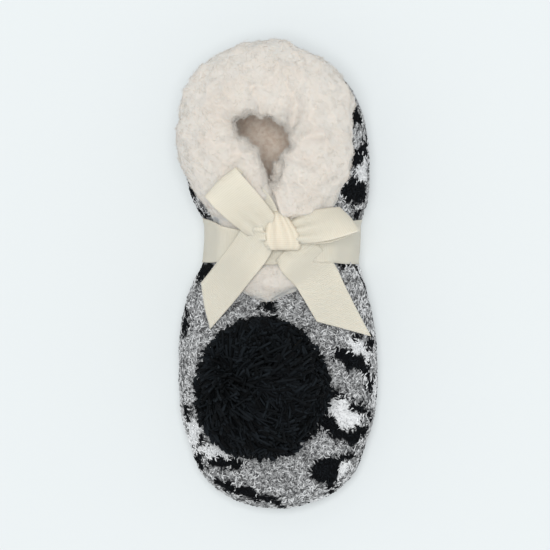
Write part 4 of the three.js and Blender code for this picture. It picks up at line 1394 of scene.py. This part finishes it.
def ribbon_band():
    """The band round the waist: the form's section at each girth step, over the pressed fleece,
    down the sides and across under the arch."""
    lanes = 21
    share = np.linspace(-0.5, 0.5, lanes)
    along = BAND_ALONG + share * RIBBON_WIDTH / UPPER_LENGTH
    place = place_at(along, 4000)
    rises = np.linspace(90, -60, 46)
    bare = form_point(place[None], np.clip(rises, 0, 90)[:, None])
    pile = np.where(rises[:, None] > 0, pile_under_band(bare[..., 0]), 0)
    flare = outline(place)[0] - outline(place[lanes // 2])[0]
    pull = np.clip(flare, 0, BAND_PULL) * np.cos(np.radians(rises))[:, None]
    side = form_point(place[None], rises[:, None], pile + RIBBON_GAP + RIBBON_THICKNESS / 2 - pull)
    half = outline(place, SOLE_SHOW - TUCK)[0]
    y = lengthwise(along)
    low = sole_lift(y) - SEAT - RIBBON_THICKNESS / 2
    edge = np.stack([half + RIBBON_GAP + 0.4, y, sole_lift(y) + 1.6], -1)
    corner = np.stack([half + RIBBON_GAP - 0.6, y, low + 0.5], -1)
    under = [np.stack([half * s, y, low], -1) for s in np.linspace(0.97, 0, 14)]
    right = np.concatenate([side, [edge, corner], under])
    left = right[-2:0:-1] * [-1, 1, 1]
    points = np.concatenate([right, left])
    points[..., 1] += BAND_RIPPLE * np.sin(points[..., 0] / 9)
    run = run_along(points[:, lanes // 2])
    uvs = np.stack(np.broadcast_arrays(share[None] * RIBBON_WIDTH, run[:, None]), -1)
    quads = grid_quads(len(points), lanes, wrap_rows=True)
    piece = build_mesh("ribbon_round_waist", points.reshape(-1, 3), quads, uvs=uvs.reshape(-1, 2))
    thicken(piece, RIBBON_THICKNESS)
    declare_ribbon(piece, "ribbon_band")


KNOT = np.array([KNOT_LEAN, BAND_Y + KNOT_BACK, 0.0])
KNOT[2] = cover_top([KNOT_LEAN], [BAND_Y])[0] + SEAT + KNOT_HEIGHT / 2

# Creases over the knot: how far across it each lies, its half width as a share, and its depth.
KNOT_CREASES = [(-0.45, 0.16, 1.5), (0.26, 0.12, 1.2), (0.7, 0.1, 0.8)]
KNOT_POWER = 2.3
KNOT_SLANT = 1.5


def bow_knot():
    """The knot: a pad whose sections are superellipses, narrower towards the heel, with creases
    that run over its top and draw together there."""
    rows, columns = 60, 96
    share = np.linspace(-1, 1, rows)[:, None]
    turn = np.linspace(0, 2 * np.pi, columns, endpoint=False)[None]
    full = 0.25 + 0.75 * np.sqrt(np.clip(1 - np.abs(share) ** 2.6, 0, 1))
    narrow = 1 - KNOT_TAPER * smooth((share + 0.6) / 1.6)
    across = np.sign(np.cos(turn)) * np.abs(np.cos(turn)) ** (2 / KNOT_POWER)
    up = np.sign(np.sin(turn)) * np.abs(np.sin(turn)) ** (2 / KNOT_POWER)
    sunk = sum(depth * np.exp(-((across - at) / wide) ** 2) for at, wide, depth in KNOT_CREASES)
    x = across * narrow * (0.55 + 0.45 * full) * KNOT_WIDTH / 2 - KNOT_SLANT * share
    y = share * KNOT_LENGTH / 2 + 0 * turn
    z = up * full * KNOT_HEIGHT / 2 - sunk * np.clip(up, 0, 1) * full
    points = np.stack([x, y, z], -1) + KNOT
    uvs = np.stack([across * narrow * KNOT_WIDTH / 2, y], -1)
    quads = grid_quads(rows, columns, wrap_columns=True)
    ends = np.stack([points[0].mean(0), points[-1].mean(0)])
    caps = end_fans(rows, columns, rows * columns, rows * columns + 1)
    points = np.concatenate([points.reshape(-1, 3), ends])
    uvs = np.concatenate([uvs.reshape(-1, 2), np.zeros((2, 2))])
    piece = build_mesh("knot_ribbon", points, quads, caps, uvs=uvs)
    weld(piece, 0.001)
    return finish_piece(piece, "ribbon", RIBBON, "bow_knot")


# Loop rows: share of the way out, share of the loop's height, share of the ribbon's width.
LOOP_ROWS = np.array([
    (0.0, 0.1, 0.4), (0.2, 0.04, 0.62), (0.45, 0.0, 0.9), (0.72, 0.0, 1.0), (0.92, 0.08, 1.0),
    (1.0, 0.38, 1.0), (0.95, 0.74, 1.0), (0.78, 0.95, 1.0), (0.5, 0.82, 0.92), (0.22, 0.45, 0.66),
    (0.0, 0.2, 0.4),
])


def bow_loop(name, node, start, end, clear, near, far, gather, spread):
    """A loop out from the knot and back over itself. The direction across it turns from near, at
    the knot, to far, at its outer end, gather is how much it is drawn in at the knot, and spread
    is how far the lower layer stands out sideways from under the upper one."""
    start = KNOT + [start[0] * KNOT_WIDTH, start[1] * KNOT_LENGTH, -KNOT_HEIGHT / 4]
    end = KNOT + [end[0] * LOOP_LENGTH, end[1] * LOOP_LENGTH, 0]
    end[2] = max(cover_top(end[:1], end[1:2])[0] + clear * LOOP_HEIGHT, start[2])
    out, lift, width = LOOP_ROWS.T
    centre = start + out[:, None] * (end - start)
    centre[:, 2] += lift * LOOP_HEIGHT
    across = near + out[:, None] * (np.array(far) - near)
    below = np.sin(np.pi * out) * (lift < 0.3)
    centre += spread * below[:, None] * across
    piece, length = ribbon_strip(name, centre, across, 1 - gather * (1 - width))
    declare_ribbon(piece, node)


# Tail rows: place from the knot as shares of the tail's length, share of its rise, share of width.
LEFT_TAIL = [(-0.13, -0.065, 2.9, 0.6), (-0.22, -0.1, 2.5, 0.88), (-0.357, -0.28, 1.5, 0.96),
             (-0.53, -0.5, 1, 1), (-0.71, -0.715, 1, 1)]
RIGHT_TAIL = [(0.075, -0.155, 0.6, 0.8), (0.185, -0.255, 0.65, 0.96), (0.332, -0.415, 0.8, 1),
              (0.446, -0.6, 0.95, 1), (0.628, -0.935, 1, 1)]
STEEPEST_TAIL = 0.55


def bow_tail(name, node, rows, slant):
    """A tail laid along the slipper, tilted across as what lies under it is, and cut on a slant:
    slant is how far one corner reaches past the middle, as a share of the tail's length."""
    x, y, rise, width = np.array(rows).T
    x, y = KNOT[0] + x * TAIL_LENGTH, KNOT[1] + y * TAIL_LENGTH
    centre = np.stack([x, y, cover_top(x, y) + rise * TAIL_RISE], -1)
    ahead = np.gradient(centre, axis=0)
    across = unit(np.stack([-ahead[:, 1], ahead[:, 0], 0 * x], -1))
    reach = RIBBON_WIDTH / 2 * width
    near = cover_top(x - reach * across[:, 0], y - reach * across[:, 1])
    far = cover_top(x + reach * across[:, 0], y + reach * across[:, 1])
    across[:, 2] = np.clip((far - near) / (2 * reach), -STEEPEST_TAIL, STEEPEST_TAIL)
    piece, length = ribbon_strip(name, centre, across, width, slant * TAIL_LENGTH)
    declare_ribbon(piece, node)


# Studio and camera

WORLD_LIGHT = 0.62
LAMP_LIGHT = 0.68  # share of the light that comes from the lamp, on the same scale
LAMP_PLACE = (0.24, 0.12, 4.4)
FLOOR_GLOW = 0.3


def studio():
    """A near-white world, one large soft lamp high over the slipper, and a pale floor that glows
    a little, as a lit table does."""
    scene = bpy.context.scene
    world = bpy.data.worlds.new("studio")
    world.use_nodes = True
    backdrop = world.node_tree.nodes["Background"]
    backdrop.inputs["Color"].default_value = (0.985, 0.995, 1.0, 1)
    backdrop.inputs["Strength"].default_value = WORLD_LIGHT
    scene.world = world
    scene.view_settings.view_transform = "Standard"
    mesh = bpy.data.meshes.new("floor")
    size = 3.0
    corners = [(-size, -size, 0), (size, -size, 0), (size, size, 0), (-size, size, 0)]
    mesh.from_pydata(corners, [], [(0, 1, 2, 3)])
    floor = bpy.data.objects.new("floor", mesh)
    scene.collection.objects.link(floor)
    material, _, _, shader = new_material("floor", 1.0)
    shader.inputs["Specular IOR Level"].default_value = 0.0
    shader.inputs["Base Color"].default_value = (0.455, 0.48, 0.488, 1)
    shader.inputs["Emission Color"].default_value = (0.95, 1.0, 1.005, 1)
    shader.inputs["Emission Strength"].default_value = FLOOR_GLOW
    mesh.materials.append(material)
    light = bpy.data.lights.new("lamp", "AREA")
    light.shape = "DISK"
    light.size = 1.4
    distance = np.linalg.norm(LAMP_PLACE)
    light.energy = LAMP_LIGHT * (np.pi * distance) ** 2
    lamp = bpy.data.objects.new("lamp", light)
    lamp.location = LAMP_PLACE
    lamp.rotation_euler = (-Vector(LAMP_PLACE)).to_track_quat("-Z", "Y").to_euler()
    scene.collection.objects.link(lamp)


PHOTO_SCALE = 0.52  # millimetres per pixel at the height of the knit's widest line
PHOTO_SIZE = 550
CAMERA_LEAN = 4.75
CAMERA_DISTANCE = 4000.0
CAMERA_AIM = (-0.9, -0.3, 25.0)


def camera():
    data = bpy.data.cameras.new("camera")
    data.sensor_width = 36
    data.lens = data.sensor_width * CAMERA_DISTANCE / (PHOTO_SIZE * PHOTO_SCALE)
    lean = np.radians(CAMERA_LEAN)
    aim = np.array(CAMERA_AIM)
    back = CAMERA_DISTANCE * np.array([np.sin(lean), 0, np.cos(lean)])
    view = bpy.data.objects.new("camera", data)
    view.location = (aim + back) * MM
    view.rotation_euler = (0, lean, 0)
    bpy.context.scene.collection.objects.link(view)
    bpy.context.scene.camera = view


camera()
studio()
knit_points, knit_quads = knit_surface()
knit_upper(knit_points, knit_quads)
knit_fibres("knit_fuzz_toe", knit_points, knit_quads, 10600, lambda p: p[:, 1] < BAND_Y, 21)
knit_fibres("knit_fuzz_heel", knit_points, knit_quads, 9800, lambda p: p[:, 1] >= BAND_Y, 22)
crown, hole = fleece_cuff()
pile = [(crown[:, :9], 0.18), (crown[:, 8:-15], 0.4), (crown[:, -16:], 0.2), (hole, 0.22)]
fleece_pile("fleece_pile_left", pile, 6200, lambda p: p[:, 0] < HOLE_LEAN, 31)
fleece_pile("fleece_pile_right", pile, 6200, lambda p: p[:, 0] >= HOLE_LEAN, 32)
sole()
grip_dots()
footbed()
pompom()
ribbon_band()
bow_knot()
bow_loop("loop_left", "bow_loop_left", (-0.32, -0.09), (-0.71, 0.635), 0.26,
         (0.94, 0.33, 0.0), (0.75, 0.66, 0.0), 0.42, 3.8)
bow_loop("loop_right", "bow_loop_right", (0.25, -0.03), (0.9, 0.16), 0.6,
         (0.35, -0.85, 0.4), (0.47, -0.54, 0.7), 0.7, 2.0)
bow_tail("tail_left", "bow_tail_left", LEFT_TAIL, 0.145)
bow_tail("tail_right", "bow_tail_right", RIGHT_TAIL, 0.19)
